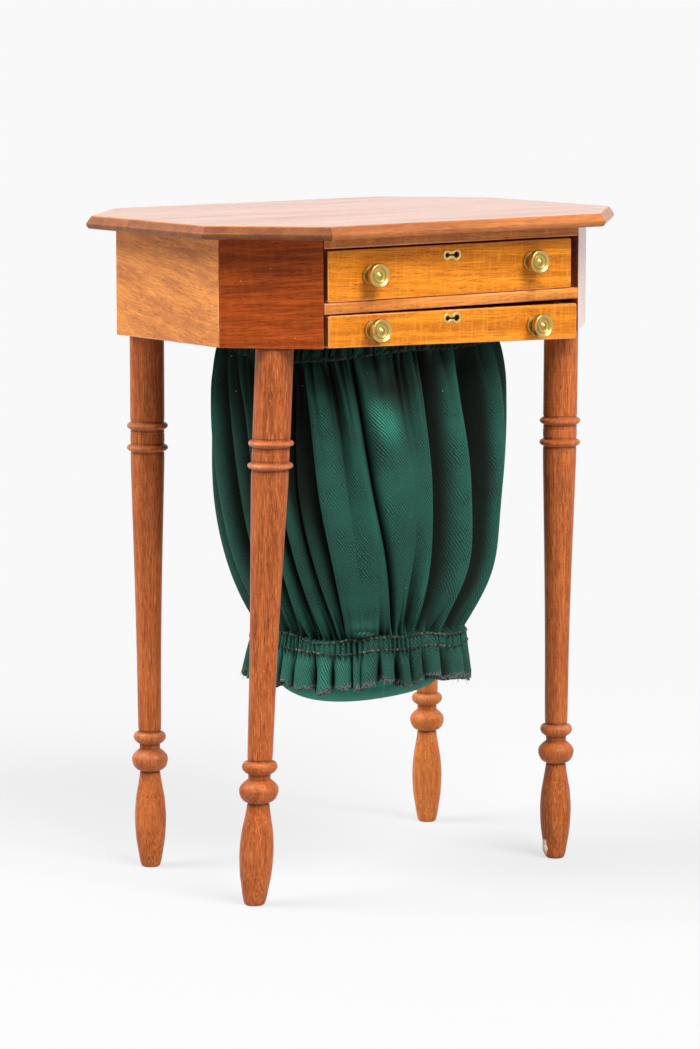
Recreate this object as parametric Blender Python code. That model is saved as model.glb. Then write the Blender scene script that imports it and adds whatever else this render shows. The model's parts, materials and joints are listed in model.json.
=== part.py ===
"""A miniature work table: an eight-sided case on turned legs, with a drawer and a sliding frame that carries a bag.

Metres, +Z up. The origin is on the floor under the middle of the case. +X runs to the right along the drawer
fronts, -Y is the front. Sizes are those of the twelfth-scale piece itself.
"""

import math

import bmesh
import bpy
from mathutils import Vector

MM = 0.001

# Overall sizes
HEIGHT = 61.4 * MM
CASE_WIDTH = 42.7 * MM
CASE_DEPTH = 29.4 * MM
CASE_HEIGHT = 9.7 * MM
CANT = 6.7 * MM  # what each canted corner takes off the width and off the depth

# Table top: its edge slopes out to a nose and rounds back under it
TOP_THICK = 1.2 * MM
TOP_OVERHANG = 2.5 * MM
TOP_SLOPE_RUN = 0.44 * MM
TOP_NOSE_HEIGHT = 0.5 * MM
TOP_UNDERCUT = 0.35 * MM

# Case
WALL = 1.6 * MM
RAIL_DEPTH = 1.6 * MM
TOP_RAIL_HEIGHT = 0.93 * MM
MIDDLE_RAIL_HEIGHT = 1.0 * MM
LOWER_OPENING = 3.0 * MM  # from the underside of the case to the middle rail
RUNNER_WIDTH = 1.2 * MM
RUNNER_HEIGHT = 0.6 * MM

# Joints between the pieces
GLUE = 0.03 * MM  # a glue line
RUNNING = 0.05 * MM  # between a drawer and what it slides on
STOP_GAP = 0.1 * MM  # between a shut drawer and the back panel
ARRIS = 0.08 * MM  # the broken edge of a board

# Drawers
FRONT_THICK = 1.6 * MM
UPPER_FRONT_RECESS = 0.12 * MM
UPPER_FRONT_TOP_GAP = 0.17 * MM
UPPER_END_GAPS = (0.45 * MM, 0.8 * MM)  # left, right
LOWER_FRONT_RECESS = 0.05 * MM
LOWER_END_GAPS = (0.45 * MM, 0.14 * MM)
LOWER_TOP_GAPS = (0.12 * MM, 0.44 * MM)  # the lower front was fixed on with its right end down
LOWER_DROPS = (-0.04 * MM, 0.7 * MM)  # how far each end hangs below the case
DRAWER_SIDE = 1.0 * MM
DRAWER_BOTTOM = 0.4 * MM
DRAWER_SIDE_SET = 0.1 * MM  # a drawer side stands this far inside the end of its front
SLIDE_RAIL = 1.2 * MM
SLIDE_CLEAR = 0.4 * MM  # between the sliding frame and the posts
SLIDE_HEADROOM = 0.3 * MM
BAG_BOARD_THICK = 0.8 * MM

# Brass knobs and keyhole plates
UPPER_KNOB_INSETS = (4.65 * MM, 4.95 * MM)  # from the ends of the front
UPPER_KNOB_RISES = (0.0 * MM, 0.38 * MM)  # above the middle of the front
LOWER_KNOB_INSETS = (4.85 * MM, 5.2 * MM)
LOWER_KNOB_RISES = (0.05 * MM, -0.17 * MM)
KNOB_RADIUS = 1.1 * MM
KNOB_LENGTH = 1.6 * MM
KNOB_FLANGE_RADIUS = 0.95 * MM
KNOB_FLANGE_THICK = 0.28 * MM
KNOB_NECK_RADIUS = 0.62 * MM
KNOB_RIM = 0.32 * MM  # height of the head's edge
KNOB_DISH = 0.16 * MM  # how deep the face is turned out
KNOB_STUD_RADIUS = 0.3 * MM  # the little cone left in the middle of the face
KNOB_PIN_RADIUS = 0.4 * MM
KEYHOLE_X = -0.25 * MM
KEYHOLE_DROPS = (0.95 * MM, 0.76 * MM)  # below the top of the upper and lower fronts
KEYHOLE_SPREAD = 1.0 * MM  # between the centres of the two round ends
KEYHOLE_BIG = 0.26 * MM
KEYHOLE_SMALL = 0.18 * MM
KEYHOLE_SLOT = 0.09 * MM  # half the slot's height
KEYHOLE_DEPTH = 0.7 * MM
PLATE_MARGIN = 0.26 * MM
PLATE_THICK = 0.2 * MM
PLATE_PROUD = 0.05 * MM

# Turned leg: heights from the floor up to the shaft, and down from the case to the rings
PAD_RADIUS = 0.9 * MM
PAD_ROUND = 0.18 * MM
FOOT_BELLY_HEIGHT = 4.6 * MM
FOOT_BELLY_RADIUS = 1.43 * MM
FOOT_NECK_HEIGHT = 9.1 * MM
FOOT_NECK_RADIUS = 0.93 * MM
BULB_HEIGHT = 2.1 * MM
BULB_RADIUS = 1.68 * MM
ANKLE_NECK_LENGTH = 0.6 * MM
ANKLE_NECK_RADIUS = 0.98 * MM
ANKLE_RING_HEIGHT = 1.1 * MM
ANKLE_RING_RADIUS = 1.5 * MM
SHAFT_LOW_RADIUS = 1.15 * MM
SHAFT_TOP_RADIUS = 1.68 * MM
RING_HEIGHT = 0.75 * MM
RING_RADIUS = 2.0 * MM
RING_DROPS = (10.9 * MM, 8.85 * MM)  # middles of the lower and upper ring, below the case
SHOULDER_ROUND = 0.15 * MM
TENON_RADIUS = 0.9 * MM
TENON_LENGTH = 2.4 * MM
SOCKET_SPARE = 0.2 * MM  # depth left over the end of the tenon

# As made: the front left leg was turned a little fuller and leans along its cant
LEG_GIRTHS = {"front_left": 1.06, "front_right": 1.0, "back_left": 1.0, "back_right": 1.0}
FOOT_LEANS = {
    "front_left": (-1.3 * MM, 1.0 * MM),
    "front_right": (-0.5 * MM, -0.4 * MM),
    "back_left": (0.0 * MM, 0.0 * MM),
    "back_right": (0.0 * MM, 0.0 * MM),
}

# Bag: drops are below the case, heights above the floor, half sizes to the outside of the cloth
BAG_WALL = 0.5 * MM
BAG_RIM = 0.5 * MM  # wood left round the oval in the bag board
BAG_HEADING_SET = 0.4 * MM  # the cloth ends this far below the top of the sliding frame
BAG_MOUTH_DROP = 0.8 * MM
BAG_FULL_DROP = 5.5 * MM
BAG_LEG_CLEAR = 0.7 * MM  # room beside the fullest part of the bag as it passes the front legs
BAG_FRAME_SET = 0.6 * MM  # the full bag stays this far inside the front and back of the frame
BAG_GATHER_HALF = (10.1 * MM, 9.8 * MM)
RUFFLE_LENGTH = 4.0 * MM
RUFFLE_FLARE = 0.8 * MM
BAG_SQUARENESS = 2.4  # exponent of the plan, 2 being an ellipse
BAG_TAPER = 2.6  # how late the bag draws in
BAG_ROOM_HALF = (10.12 * MM, 9.2 * MM)  # oval that the folds leave clear for what the bag holds
BAG_FOOT_ROOM_HALF = (8.28 * MM, 8.05 * MM)  # and the one near the bottom
BAG_FOOT_ROOM_HEIGHT = 27.0 * MM
BAG_ROOM_SQUARENESS = 5.0
BAG_FOLD_RUN = 3.0 * MM  # a fold comes to its depth this far from either gathering
BAG_BACK_FOLDS = 14  # even ones round the side and the back
BAG_BACK_DEPTH = 1.8 * MM
BAG_BACK_SWAY = 3.0  # degrees that these lie out of their even places, by a sine
BAG_BACK_BEAT = 2.4
BAG_SHOULDERS = (0.0, 0.26, 0.74)  # points of a fold and the ridge after it, as shares of the way to the next
RUFFLE_PLEAT = 0.9 * MM
BASE_HALF = (7.9 * MM, 7.6 * MM)  # at the edge of the padded base's underside
BASE_HEIGHT = 5.8 * MM
BASE_FLOOR_CLEAR = 16.2 * MM
BASE_CROWN = 1.4 * MM  # height of the crown under the base

# Folds on the front and left of the bag: turns in degrees at the mouth, half way down and at the gathering, taken
# anticlockwise from the direction BAG_CORNER, then the depth half way and how far the ridge after it is sunk
BAG_CORNER = -127.5
BAG_FOLDS = (
    (-76, -65, -53, 2.3 * MM, 0.7 * MM),
    (-62, -48, -42, 2.3 * MM, 0.4 * MM),
    (-52, -41, -36, 2.1 * MM, 0.4 * MM),
    (-43, -35, -24, 1.9 * MM, 0.6 * MM),
    (-33, -27, -12, 2.2 * MM, 1.0 * MM),
    (-23, -17, -7, 1.8 * MM, 0.0),
    (-14, -5, 2, 0.4 * MM, 0.0),
    (-4, 7, 20, 1.6 * MM, 0.0),
    (16, 26, 28, 0.3 * MM, 0.0),
    (28, 37, 36, 2.1 * MM, 0.0),
    (51, 64, 59, 2.9 * MM, 2.6 * MM),
    (63, 77, 71, 2.9 * MM, 0.0),
    (84, 94, 87, 1.9 * MM, 0.0),
)

# Facets round one turn
LEG_SIDES = 16
KNOB_SIDES = 18

# Steps along a quarter round, and along the swell, the fall and the base of the bag
ARC_STEPS = 3
BAG_STEPS = 3

# Levels worked out from the sizes
UNDER_TOP = HEIGHT - TOP_THICK
CASE_BOTTOM = UNDER_TOP - CASE_HEIGHT
FRONT_Y = -CASE_DEPTH / 2
HALF_OPENING = CASE_WIDTH / 2 - CANT
UPPER_OPENING_TOP = UNDER_TOP - TOP_RAIL_HEIGHT
SHELF_BOTTOM = CASE_BOTTOM + LOWER_OPENING
SHELF_TOP = SHELF_BOTTOM + MIDDLE_RAIL_HEIGHT
BACK_INSIDE = CASE_DEPTH / 2 - WALL
DRAWER_END = BACK_INSIDE - STOP_GAP
SLIDE_BOTTOM = CASE_BOTTOM + RUNNER_HEIGHT + RUNNING
SLIDE_TOP = SHELF_BOTTOM - SLIDE_HEADROOM
GATHER_HEIGHT = BASE_FLOOR_CLEAR + BASE_HEIGHT

SIDES = {"left": -1, "right": 1}
ENDS = {"front": -1, "back": 1}


def clear_scene():
    """Remove whatever the scene holds."""
    for old in list(bpy.data.objects):
        bpy.data.objects.remove(old, do_unlink=True)


def finish(name, colour, roughness, metallic=0.0):
    """A Principled material with one colour."""
    material = bpy.data.materials.new(name)
    material.use_nodes = True
    shader = material.node_tree.nodes["Principled BSDF"]
    shader.inputs["Base Color"].default_value = (*colour, 1.0)
    shader.inputs["Roughness"].default_value = roughness
    shader.inputs["Metallic"].default_value = metallic
    return material


def body(name, at):
    """An empty that the pieces of one rigid body hang on."""
    empty = bpy.data.objects.new(name, None)
    empty.location = at
    bpy.context.collection.objects.link(empty)
    return empty


def add_piece(name, bm, at, parent, material=None):
    """An object for a finished bmesh, with its origin at a point of the world. No material makes it a cutter."""
    bmesh.ops.recalc_face_normals(bm, faces=bm.faces)
    mesh = bpy.data.meshes.new(name)
    bm.to_mesh(mesh)
    bm.free()
    mesh.shade_smooth()
    mesh.set_sharp_from_angle(angle=math.radians(35))
    piece = bpy.data.objects.new(name, mesh)
    bpy.context.collection.objects.link(piece)
    piece.parent = parent
    piece.location = Vector(at) - parent.location
    if material is None:
        piece.hide_render = True
        piece.display_type = "WIRE"
    else:
        mesh.materials.append(material)
    return piece


def loft(bm, rings, closed=False):
    """Skin a list of rings that have as many points each. An open skin gets a flat cap at each end."""
    loops = [[bm.verts.new(point) for point in ring] for ring in rings]
    pairs = list(zip(loops, loops[1:]))
    if closed:
        pairs.append((loops[-1], loops[0]))
    else:
        bm.faces.new(reversed(loops[0]))
        bm.faces.new(loops[-1])
    count = len(loops[0])
    for below, above in pairs:
        for i in range(count):
            j = (i + 1) % count
            bm.faces.new((below[i], below[j], above[j], above[i]))


def soften(piece, width):
    """Break the edges of a board."""
    bevel = piece.modifiers.new("arris", "BEVEL")
    bevel.width = width
    bevel.segments = 1
    bevel.limit_method = "ANGLE"


def cut(piece, name, bm, at, parent):
    """Take the shape of a bmesh out of a piece."""
    boolean = piece.modifiers.new(name, "BOOLEAN")
    boolean.operation = "DIFFERENCE"
    boolean.solver = "EXACT"
    boolean.object = add_piece(name, bm, at, parent)


def board(name, low, high, parent, material):
    """A rectangular board between two corners, with broken edges."""
    low, high = Vector(low), Vector(high)
    centre, half = (low + high) / 2, (high - low) / 2
    bm = bmesh.new()
    plan = [(-half.x, -half.y), (half.x, -half.y), (half.x, half.y), (-half.x, half.y)]
    loft(bm, [[(x, y, z) for x, y in plan] for z in (-half.z, half.z)])
    piece = add_piece(name, bm, centre, parent, material)
    soften(piece, min(ARRIS, min(half) / 3))
    return piece


def circle(radius, sides, z, centre=(0.0, 0.0)):
    """A level ring of points."""
    turns = [2 * math.pi * i / sides for i in range(sides)]
    return [(centre[0] + radius * math.cos(a), centre[1] + radius * math.sin(a), z) for a in turns]


def oval_reach(half, turn, squareness=BAG_SQUARENESS):
    """Distance from the middle to the oval |x/a|^n + |y/b|^n = 1 in a direction."""
    a, b = abs(math.cos(turn)) / half[0], abs(math.sin(turn)) / half[1]
    return (a**squareness + b**squareness) ** (-1 / squareness)


def ring_at(turns, reaches, z):
    """A level ring of points at these directions and distances."""
    return [(reach * math.cos(turn), reach * math.sin(turn), z) for turn, reach in zip(turns, reaches)]


def peg(radius, length, sides=KNOB_SIDES):
    """A plain round bar along Z from the origin, as a bmesh."""
    bm = bmesh.new()
    loft(bm, [circle(radius, sides, z) for z in (0.0, length)])
    return bm


def octagon(offset, z):
    """The case's outline moved out by an offset. Its 45 degree sides grow by less than its corners do."""
    x, y = CASE_WIDTH / 2 + offset, CASE_DEPTH / 2 + offset
    cant = CANT + offset * (2 - math.sqrt(2))
    corner = [(x, y - cant), (x - cant, y)]
    plan = corner + [(-px, py) for px, py in reversed(corner)]
    plan += [(-px, -py) for px, py in corner] + [(px, -py) for px, py in reversed(corner)]
    return [(px, py, z) for px, py in plan]


def make_table_top(parent, wood):
    """The eight-sided top, lofted up through the rounding under its nose and the slope above it."""
    steps = [i / ARC_STEPS for i in range(ARC_STEPS + 1)]
    profile = []
    for t in steps:
        angle = t * math.pi / 2
        inset = TOP_UNDERCUT * (1 - math.sin(angle))
        profile.append((TOP_OVERHANG - inset, TOP_NOSE_HEIGHT * (1 - math.cos(angle))))
    profile.append((TOP_OVERHANG - TOP_SLOPE_RUN, TOP_THICK - ARRIS))
    profile.append((TOP_OVERHANG - TOP_SLOPE_RUN - ARRIS, TOP_THICK))
    bm = bmesh.new()
    loft(bm, [octagon(offset, z) for offset, z in profile])
    add_piece("table_top", bm, (0, 0, UNDER_TOP), parent, wood)


def leg_place():
    """Distance of the legs from the middle, so that a post has the same wood on its three sides of a leg."""
    inset = CANT / (2 + math.sqrt(2))
    return HALF_OPENING + inset, CASE_DEPTH / 2 - CANT + inset


def make_case(parent, wood, inner_wood):
    """Posts, sides, back, rails, the board under the upper drawer and the runners under the sliding frame."""
    top = UNDER_TOP - GLUE
    side_end = CASE_DEPTH / 2 - CANT - GLUE
    span = HALF_OPENING - GLUE
    for side, sx in SIDES.items():
        edges = sorted((sx * CASE_WIDTH / 2, sx * (CASE_WIDTH / 2 - WALL)))
        low = (edges[0], -side_end, CASE_BOTTOM)
        board(f"{side}_side", low, (edges[1], side_end, top), parent, wood)
        for end, sy in ENDS.items():
            make_post(f"{end}_{side}_post", sx, sy, top, parent, wood)
    low = (-span, BACK_INSIDE, CASE_BOTTOM)
    board("back_panel", low, (span, CASE_DEPTH / 2, top), parent, wood)
    rail_back = FRONT_Y + RAIL_DEPTH
    board("top_rail", (-span, FRONT_Y, UPPER_OPENING_TOP), (span, rail_back, top), parent, wood)
    board("middle_rail", (-span, FRONT_Y, SHELF_BOTTOM), (span, rail_back, SHELF_TOP), parent, wood)
    low = (-span, rail_back + GLUE, SHELF_BOTTOM)
    board("dust_board", low, (span, BACK_INSIDE - GLUE, SHELF_TOP), parent, inner_wood)
    for side, sx in SIDES.items():
        edges = sorted((sx * span, sx * (span - RUNNER_WIDTH)))
        low = (edges[0], slide_start(), CASE_BOTTOM)
        high = (edges[1], BACK_INSIDE - GLUE, CASE_BOTTOM + RUNNER_HEIGHT)
        board(f"{side}_runner", low, high, parent, inner_wood)


def make_post(name, sx, sy, top, parent, wood):
    """A three-cornered post: its long face is the canted corner, and a socket from below takes the leg."""
    leg_x, leg_y = leg_place()
    far_x, far_y = CASE_WIDTH / 2 - leg_x, CASE_DEPTH / 2 - leg_y
    near_x, near_y = HALF_OPENING - leg_x, CASE_DEPTH / 2 - CANT - leg_y
    plan = [(far_x, near_y), (near_x, far_y), (near_x, near_y)]
    at = (sx * leg_x, sy * leg_y, CASE_BOTTOM)
    bm = bmesh.new()
    loft(bm, [[(sx * x, sy * y, z) for x, y in plan] for z in (0.0, top - CASE_BOTTOM)])
    post = add_piece(name, bm, at, parent, wood)
    soften(post, ARRIS)
    depth = TENON_LENGTH + SOCKET_SPARE
    socket = peg(TENON_RADIUS + GLUE, 2 * depth, LEG_SIDES)
    cut(post, f"{name}_socket", socket, (at[0], at[1], CASE_BOTTOM - depth), parent)


def bead(middle, height, low_radius, peak, high_radius):
    """A half-round moulding as (height, radius) pairs, rising from one radius and falling to another."""
    points = []
    for i in range(2 * ARC_STEPS + 1):
        angle = math.pi * i / (2 * ARC_STEPS)
        base = low_radius if angle < math.pi / 2 else high_radius
        z = middle - height / 2 * math.cos(angle)
        points.append((z, base + (peak - base) * math.sin(angle)))
    return points


def leg_profile(length, girth):
    """The turned outline from the floor to the top of the tenon, as (height, radius) pairs."""
    steps = [i / ARC_STEPS for i in range(ARC_STEPS + 1)]
    profile = []
    for t in steps:
        rise = PAD_ROUND + (FOOT_BELLY_HEIGHT - PAD_ROUND) * t
        profile.append((rise, PAD_RADIUS + (FOOT_BELLY_RADIUS - PAD_RADIUS) * math.sin(t * math.pi / 2)))
    for t in steps[1:-1]:
        fall = (1 - math.cos(t * math.pi)) / 2
        z = FOOT_BELLY_HEIGHT + (FOOT_NECK_HEIGHT - FOOT_BELLY_HEIGHT) * t
        profile.append((z, FOOT_BELLY_RADIUS + (FOOT_NECK_RADIUS - FOOT_BELLY_RADIUS) * fall))
    bulb = FOOT_NECK_HEIGHT + BULB_HEIGHT / 2
    profile += bead(bulb, BULB_HEIGHT, FOOT_NECK_RADIUS, BULB_RADIUS, ANKLE_NECK_RADIUS)
    ring = FOOT_NECK_HEIGHT + BULB_HEIGHT + ANKLE_NECK_LENGTH + ANKLE_RING_HEIGHT / 2
    profile += bead(ring, ANKLE_RING_HEIGHT, ANKLE_NECK_RADIUS, ANKLE_RING_RADIUS, SHAFT_LOW_RADIUS)
    for drop in RING_DROPS:
        profile += bead(length - drop, RING_HEIGHT, SHAFT_TOP_RADIUS, RING_RADIUS, SHAFT_TOP_RADIUS)
    shoulder = length - GLUE
    profile.append((shoulder - SHOULDER_ROUND, SHAFT_TOP_RADIUS))
    profile.append((shoulder, SHAFT_TOP_RADIUS - SHOULDER_ROUND))
    turned = [(z, radius * girth) for z, radius in profile]
    tenon = [(shoulder, TENON_RADIUS), (length + TENON_LENGTH, TENON_RADIUS)]
    return [(0.0, PAD_RADIUS - PAD_ROUND)] + turned + tenon


def make_leg(name, sx, sy, parent, wood):
    """A turned leg whose tenon stands upright in its post and whose foot may lean away from under it."""
    leg_x, leg_y = leg_place()
    lean_x, lean_y = FOOT_LEANS[name]
    rings = []
    for z, radius in leg_profile(CASE_BOTTOM, LEG_GIRTHS[name]):
        below = max(0.0, 1 - z / CASE_BOTTOM)
        rings.append(circle(radius, LEG_SIDES, z, (lean_x * below, lean_y * below)))
    bm = bmesh.new()
    loft(bm, rings)
    add_piece(f"{name}_leg", bm, (sx * leg_x, sy * leg_y, 0.0), parent, wood)


def knob_profile():
    """Turned brass knob as (distance in front of the drawer, radius) pairs, from its pin to its face."""
    head = KNOB_LENGTH - KNOB_DISH
    stem = KNOB_FLANGE_THICK + (head - KNOB_RIM - KNOB_FLANGE_THICK) / 2
    return [
        (-FRONT_THICK, KNOB_PIN_RADIUS),
        (GLUE, KNOB_PIN_RADIUS),
        (GLUE, KNOB_FLANGE_RADIUS),
        (KNOB_FLANGE_THICK, KNOB_FLANGE_RADIUS),
        (KNOB_FLANGE_THICK, KNOB_NECK_RADIUS),
        (stem, KNOB_NECK_RADIUS),
        (head - KNOB_RIM, KNOB_RADIUS - KNOB_DISH),
        (head - KNOB_RIM / 2, KNOB_RADIUS),
        (head, KNOB_RADIUS),
        (KNOB_LENGTH, KNOB_RADIUS - KNOB_DISH),
        (head, KNOB_RADIUS - 2 * KNOB_DISH),
        (head, KNOB_STUD_RADIUS),
        (KNOB_LENGTH, KNOB_STUD_RADIUS / 3),
    ]


def make_knob(name, front, x, z, face_y, parent, brass):
    """A knob along -Y, with a hole for its pin through the drawer front."""
    rings = []
    for out, radius in knob_profile():
        rings.append([(px, -out, pz) for px, pz, _ in circle(radius, KNOB_SIDES, 0.0)])
    bm = bmesh.new()
    loft(bm, rings)
    at = (x, face_y, z)
    add_piece(name, bm, at, parent, brass)
    hole = bmesh.new()
    ends = (-FRONT_THICK, 2 * FRONT_THICK)
    loft(hole, [[(px, y, pz) for px, pz, _ in circle(KNOB_PIN_RADIUS + GLUE, KNOB_SIDES, 0.0)] for y in ends])
    cut(front, f"{name}_hole", hole, at, parent)


def keyhole(margin, slot, y):
    """A keyhole lying on its side: a large round end on the right, a small one on the left and a slot between."""
    big, small = KEYHOLE_BIG + margin, KEYHOLE_SMALL + margin
    ring = []
    for centre, radius, start in (
        (KEYHOLE_SPREAD / 2, big, math.asin(slot / big) - math.pi),
        (-KEYHOLE_SPREAD / 2, small, math.asin(slot / small)),
    ):
        sweep = 2 * math.pi - 2 * math.asin(slot / radius)
        for i in range(2 * ARC_STEPS + 1):
            angle = start + sweep * i / (2 * ARC_STEPS)
            ring.append((centre + radius * math.cos(angle), y, radius * math.sin(angle)))
    return ring


def make_keyhole_plate(name, front, z, face_y, parent, brass):
    """A brass plate let into the front, with the keyhole through it and a pit in the wood behind."""
    waist = KEYHOLE_SMALL + PLATE_MARGIN / 3
    face, back = -PLATE_PROUD, PLATE_THICK - PLATE_PROUD
    bm = bmesh.new()
    loft(
        bm,
        [
            keyhole(PLATE_MARGIN, waist, face),
            keyhole(PLATE_MARGIN, waist, back),
            keyhole(0.0, KEYHOLE_SLOT, back),
            keyhole(0.0, KEYHOLE_SLOT, face),
        ],
        closed=True,
    )
    at = (KEYHOLE_X, face_y, z)
    add_piece(name, bm, at, parent, brass)
    recess = bmesh.new()
    seat = back + GLUE
    loft(recess, [keyhole(PLATE_MARGIN + GLUE, waist + GLUE, y) for y in (-PLATE_THICK, seat)])
    cut(front, f"{name}_recess", recess, at, parent)
    pit = bmesh.new()
    loft(pit, [keyhole(0.0, KEYHOLE_SLOT, y) for y in (-PLATE_THICK, seat + KEYHOLE_DEPTH)])
    cut(front, f"{name}_pit", pit, at, parent)


def make_upper_drawer(parent, wood, inner_wood, brass):
    """A drawer box behind a plain front, with two knobs and a keyhole plate."""
    left, right = -HALF_OPENING + UPPER_END_GAPS[0], HALF_OPENING - UPPER_END_GAPS[1]
    low, high = SHELF_TOP + RUNNING, UPPER_OPENING_TOP - UPPER_FRONT_TOP_GAP
    face = FRONT_Y + UPPER_FRONT_RECESS
    behind = face + FRONT_THICK + GLUE
    front = board("upper_drawer_front", (left, face, low), (right, behind - GLUE, high), parent, wood)
    side_top = high - RUNNING
    inside = {}
    for side, sx in SIDES.items():
        outer = (left if sx < 0 else right) - sx * DRAWER_SIDE_SET
        inner = outer - sx * DRAWER_SIDE
        inside[side] = inner - sx * GLUE
        edges = sorted((outer, inner))
        start, end = (edges[0], behind, low), (edges[1], DRAWER_END, side_top)
        board(f"upper_drawer_{side}_side", start, end, parent, inner_wood)
    back_start = DRAWER_END - DRAWER_SIDE
    start, end = (inside["left"], back_start, low), (inside["right"], DRAWER_END, side_top)
    board("upper_drawer_back", start, end, parent, inner_wood)
    end = (inside["right"], back_start - GLUE, low + DRAWER_BOTTOM)
    board("upper_drawer_bottom", (inside["left"], behind, low), end, parent, inner_wood)
    for side, inset, rise in zip(SIDES, UPPER_KNOB_INSETS, UPPER_KNOB_RISES):
        x = left + inset if side == "left" else right - inset
        make_knob(f"upper_{side}_knob", front, x, (low + high) / 2 + rise, face, parent, brass)
    make_keyhole_plate("upper_keyhole_plate", front, high - KEYHOLE_DROPS[0], face, parent, brass)


def slide_start():
    """Where the sliding frame's rails, and the runners under them, begin behind the lower front."""
    return FRONT_Y + LOWER_FRONT_RECESS + FRONT_THICK + GLUE


def slide_frame():
    """The sliding frame's half width and the room inside it: half width, front and back."""
    half = HALF_OPENING - SLIDE_CLEAR
    return half, half - SLIDE_RAIL - GLUE, slide_start(), DRAWER_END - SLIDE_RAIL - GLUE


def bag_oval():
    """Middle of the bag along Y, and the half sizes of the oval in the bag board."""
    _, half, start, end = slide_frame()
    return (start + end) / 2, (half - BAG_RIM, (end - start) / 2 - BAG_RIM)


def make_lower_front(parent, wood, brass):
    """The front of the sliding frame, sawn out of square and fixed with its right end down."""
    left, right = -HALF_OPENING + LOWER_END_GAPS[0], HALF_OPENING - LOWER_END_GAPS[1]
    tops = [SHELF_BOTTOM - gap for gap in LOWER_TOP_GAPS]
    bottoms = [CASE_BOTTOM - drop for drop in LOWER_DROPS]
    face = FRONT_Y + LOWER_FRONT_RECESS
    middle = (bottoms[0] + tops[0]) / 2
    plan = [(left, bottoms[0]), (right, bottoms[1]), (right, tops[1]), (left, tops[0])]
    bm = bmesh.new()
    loft(bm, [[(x, y, z - middle) for x, z in plan] for y in (0.0, FRONT_THICK)])
    front = add_piece("bag_slide_front", bm, (0.0, face, middle), parent, wood)
    soften(front, ARRIS)

    def level(levels, x):
        return levels[0] + (levels[1] - levels[0]) * (x - left) / (right - left)

    for side, inset, rise in zip(SIDES, LOWER_KNOB_INSETS, LOWER_KNOB_RISES):
        x = left + inset if side == "left" else right - inset
        z = (level(tops, x) + level(bottoms, x)) / 2 + rise
        make_knob(f"lower_{side}_knob", front, x, z, face, parent, brass)
    z = level(tops, KEYHOLE_X) - KEYHOLE_DROPS[1]
    make_keyhole_plate("lower_keyhole_plate", front, z, face, parent, brass)


def make_bag_slide(parent, inner_wood):
    """Rails on the runners, joined by a back rail, and the board with the oval that the bag hangs from."""
    half, inner, start, end = slide_frame()
    for side, sx in SIDES.items():
        edges = sorted((sx * half, sx * (half - SLIDE_RAIL)))
        corners = (edges[0], start, SLIDE_BOTTOM), (edges[1], DRAWER_END, SLIDE_TOP)
        board(f"bag_slide_{side}_rail", *corners, parent, inner_wood)
    corners = (-inner, end + GLUE, SLIDE_BOTTOM), (inner, DRAWER_END, SLIDE_TOP)
    board("bag_slide_back_rail", *corners, parent, inner_wood)
    corners = (-inner, start, SLIDE_BOTTOM), (inner, end, SLIDE_BOTTOM + BAG_BOARD_THICK)
    bag_board = board("bag_board", *corners, parent, inner_wood)
    middle, oval = bag_oval()
    turns = bag_turns(0.0)
    reaches = [oval_reach(oval, turn) for turn in turns]
    hole = bmesh.new()
    loft(hole, [ring_at(turns, reaches, z) for z in (-BAG_BOARD_THICK, 2 * BAG_BOARD_THICK)])
    cut(bag_board, "bag_board_oval", hole, (0.0, middle, SLIDE_BOTTOM), parent)


def bag_folds():
    """Every fold of the bag, as in BAG_FOLDS, with the even ones filled in behind."""
    first, last = BAG_FOLDS[0], BAG_FOLDS[-1]
    folds = list(BAG_FOLDS)
    for i in range(1, BAG_BACK_FOLDS + 1):
        share = i / (BAG_BACK_FOLDS + 1)
        sway = BAG_BACK_SWAY * math.sin(BAG_BACK_BEAT * i)
        turns = [b + (a + 360 - b) * share + sway for a, b in zip(first[:3], last[:3])]
        folds.append((*turns, BAG_BACK_DEPTH, 0.0))
    return folds


def bag_turns(t):
    """Directions of the points round the bag at a share of the way from its mouth down to the gathering."""
    weights = (1 - t) * (1 - 2 * t), 4 * t * (1 - t), t * (2 * t - 1)
    turns = [BAG_CORNER + sum(w * turn for w, turn in zip(weights, fold)) for fold in bag_folds()]
    turns.append(turns[0] + 360)
    return [math.radians(a + (b - a) * share) for a, b in zip(turns, turns[1:]) for share in BAG_SHOULDERS]


def bag_levels():
    """The plan of the bag from its heading to the ruffle's edge, as (height, half sizes) pairs, and its mouth."""
    _, oval = bag_oval()
    _, _, start, end = slide_frame()
    neck = tuple(half - GLUE for half in oval)
    ring = RING_RADIUS * max(LEG_GIRTHS.values())
    full = (leg_place()[0] - ring - BAG_LEG_CLEAR, (end - start) / 2 - BAG_FRAME_SET)
    full_height = CASE_BOTTOM - BAG_FULL_DROP
    mouth = CASE_BOTTOM - BAG_MOUTH_DROP
    levels = [(SLIDE_TOP - BAG_HEADING_SET, neck), (CASE_BOTTOM, neck)]
    for i in range(BAG_STEPS):
        t = i / BAG_STEPS
        halves = [n + (f - n) * math.sin(t * math.pi / 2) for n, f in zip(neck, full)]
        levels.append((mouth + (full_height - mouth) * t, halves))
    for i in range(2 * BAG_STEPS + 1):
        t = i / (2 * BAG_STEPS)
        halves = [g + (f - g) * (1 - t**BAG_TAPER) for g, f in zip(BAG_GATHER_HALF, full)]
        levels.append((full_height + (GATHER_HEIGHT - full_height) * t, halves))
    flared = [half + RUFFLE_FLARE for half in BAG_GATHER_HALF]
    levels.append((GATHER_HEIGHT - RUFFLE_LENGTH, flared))
    return levels, mouth


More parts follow.
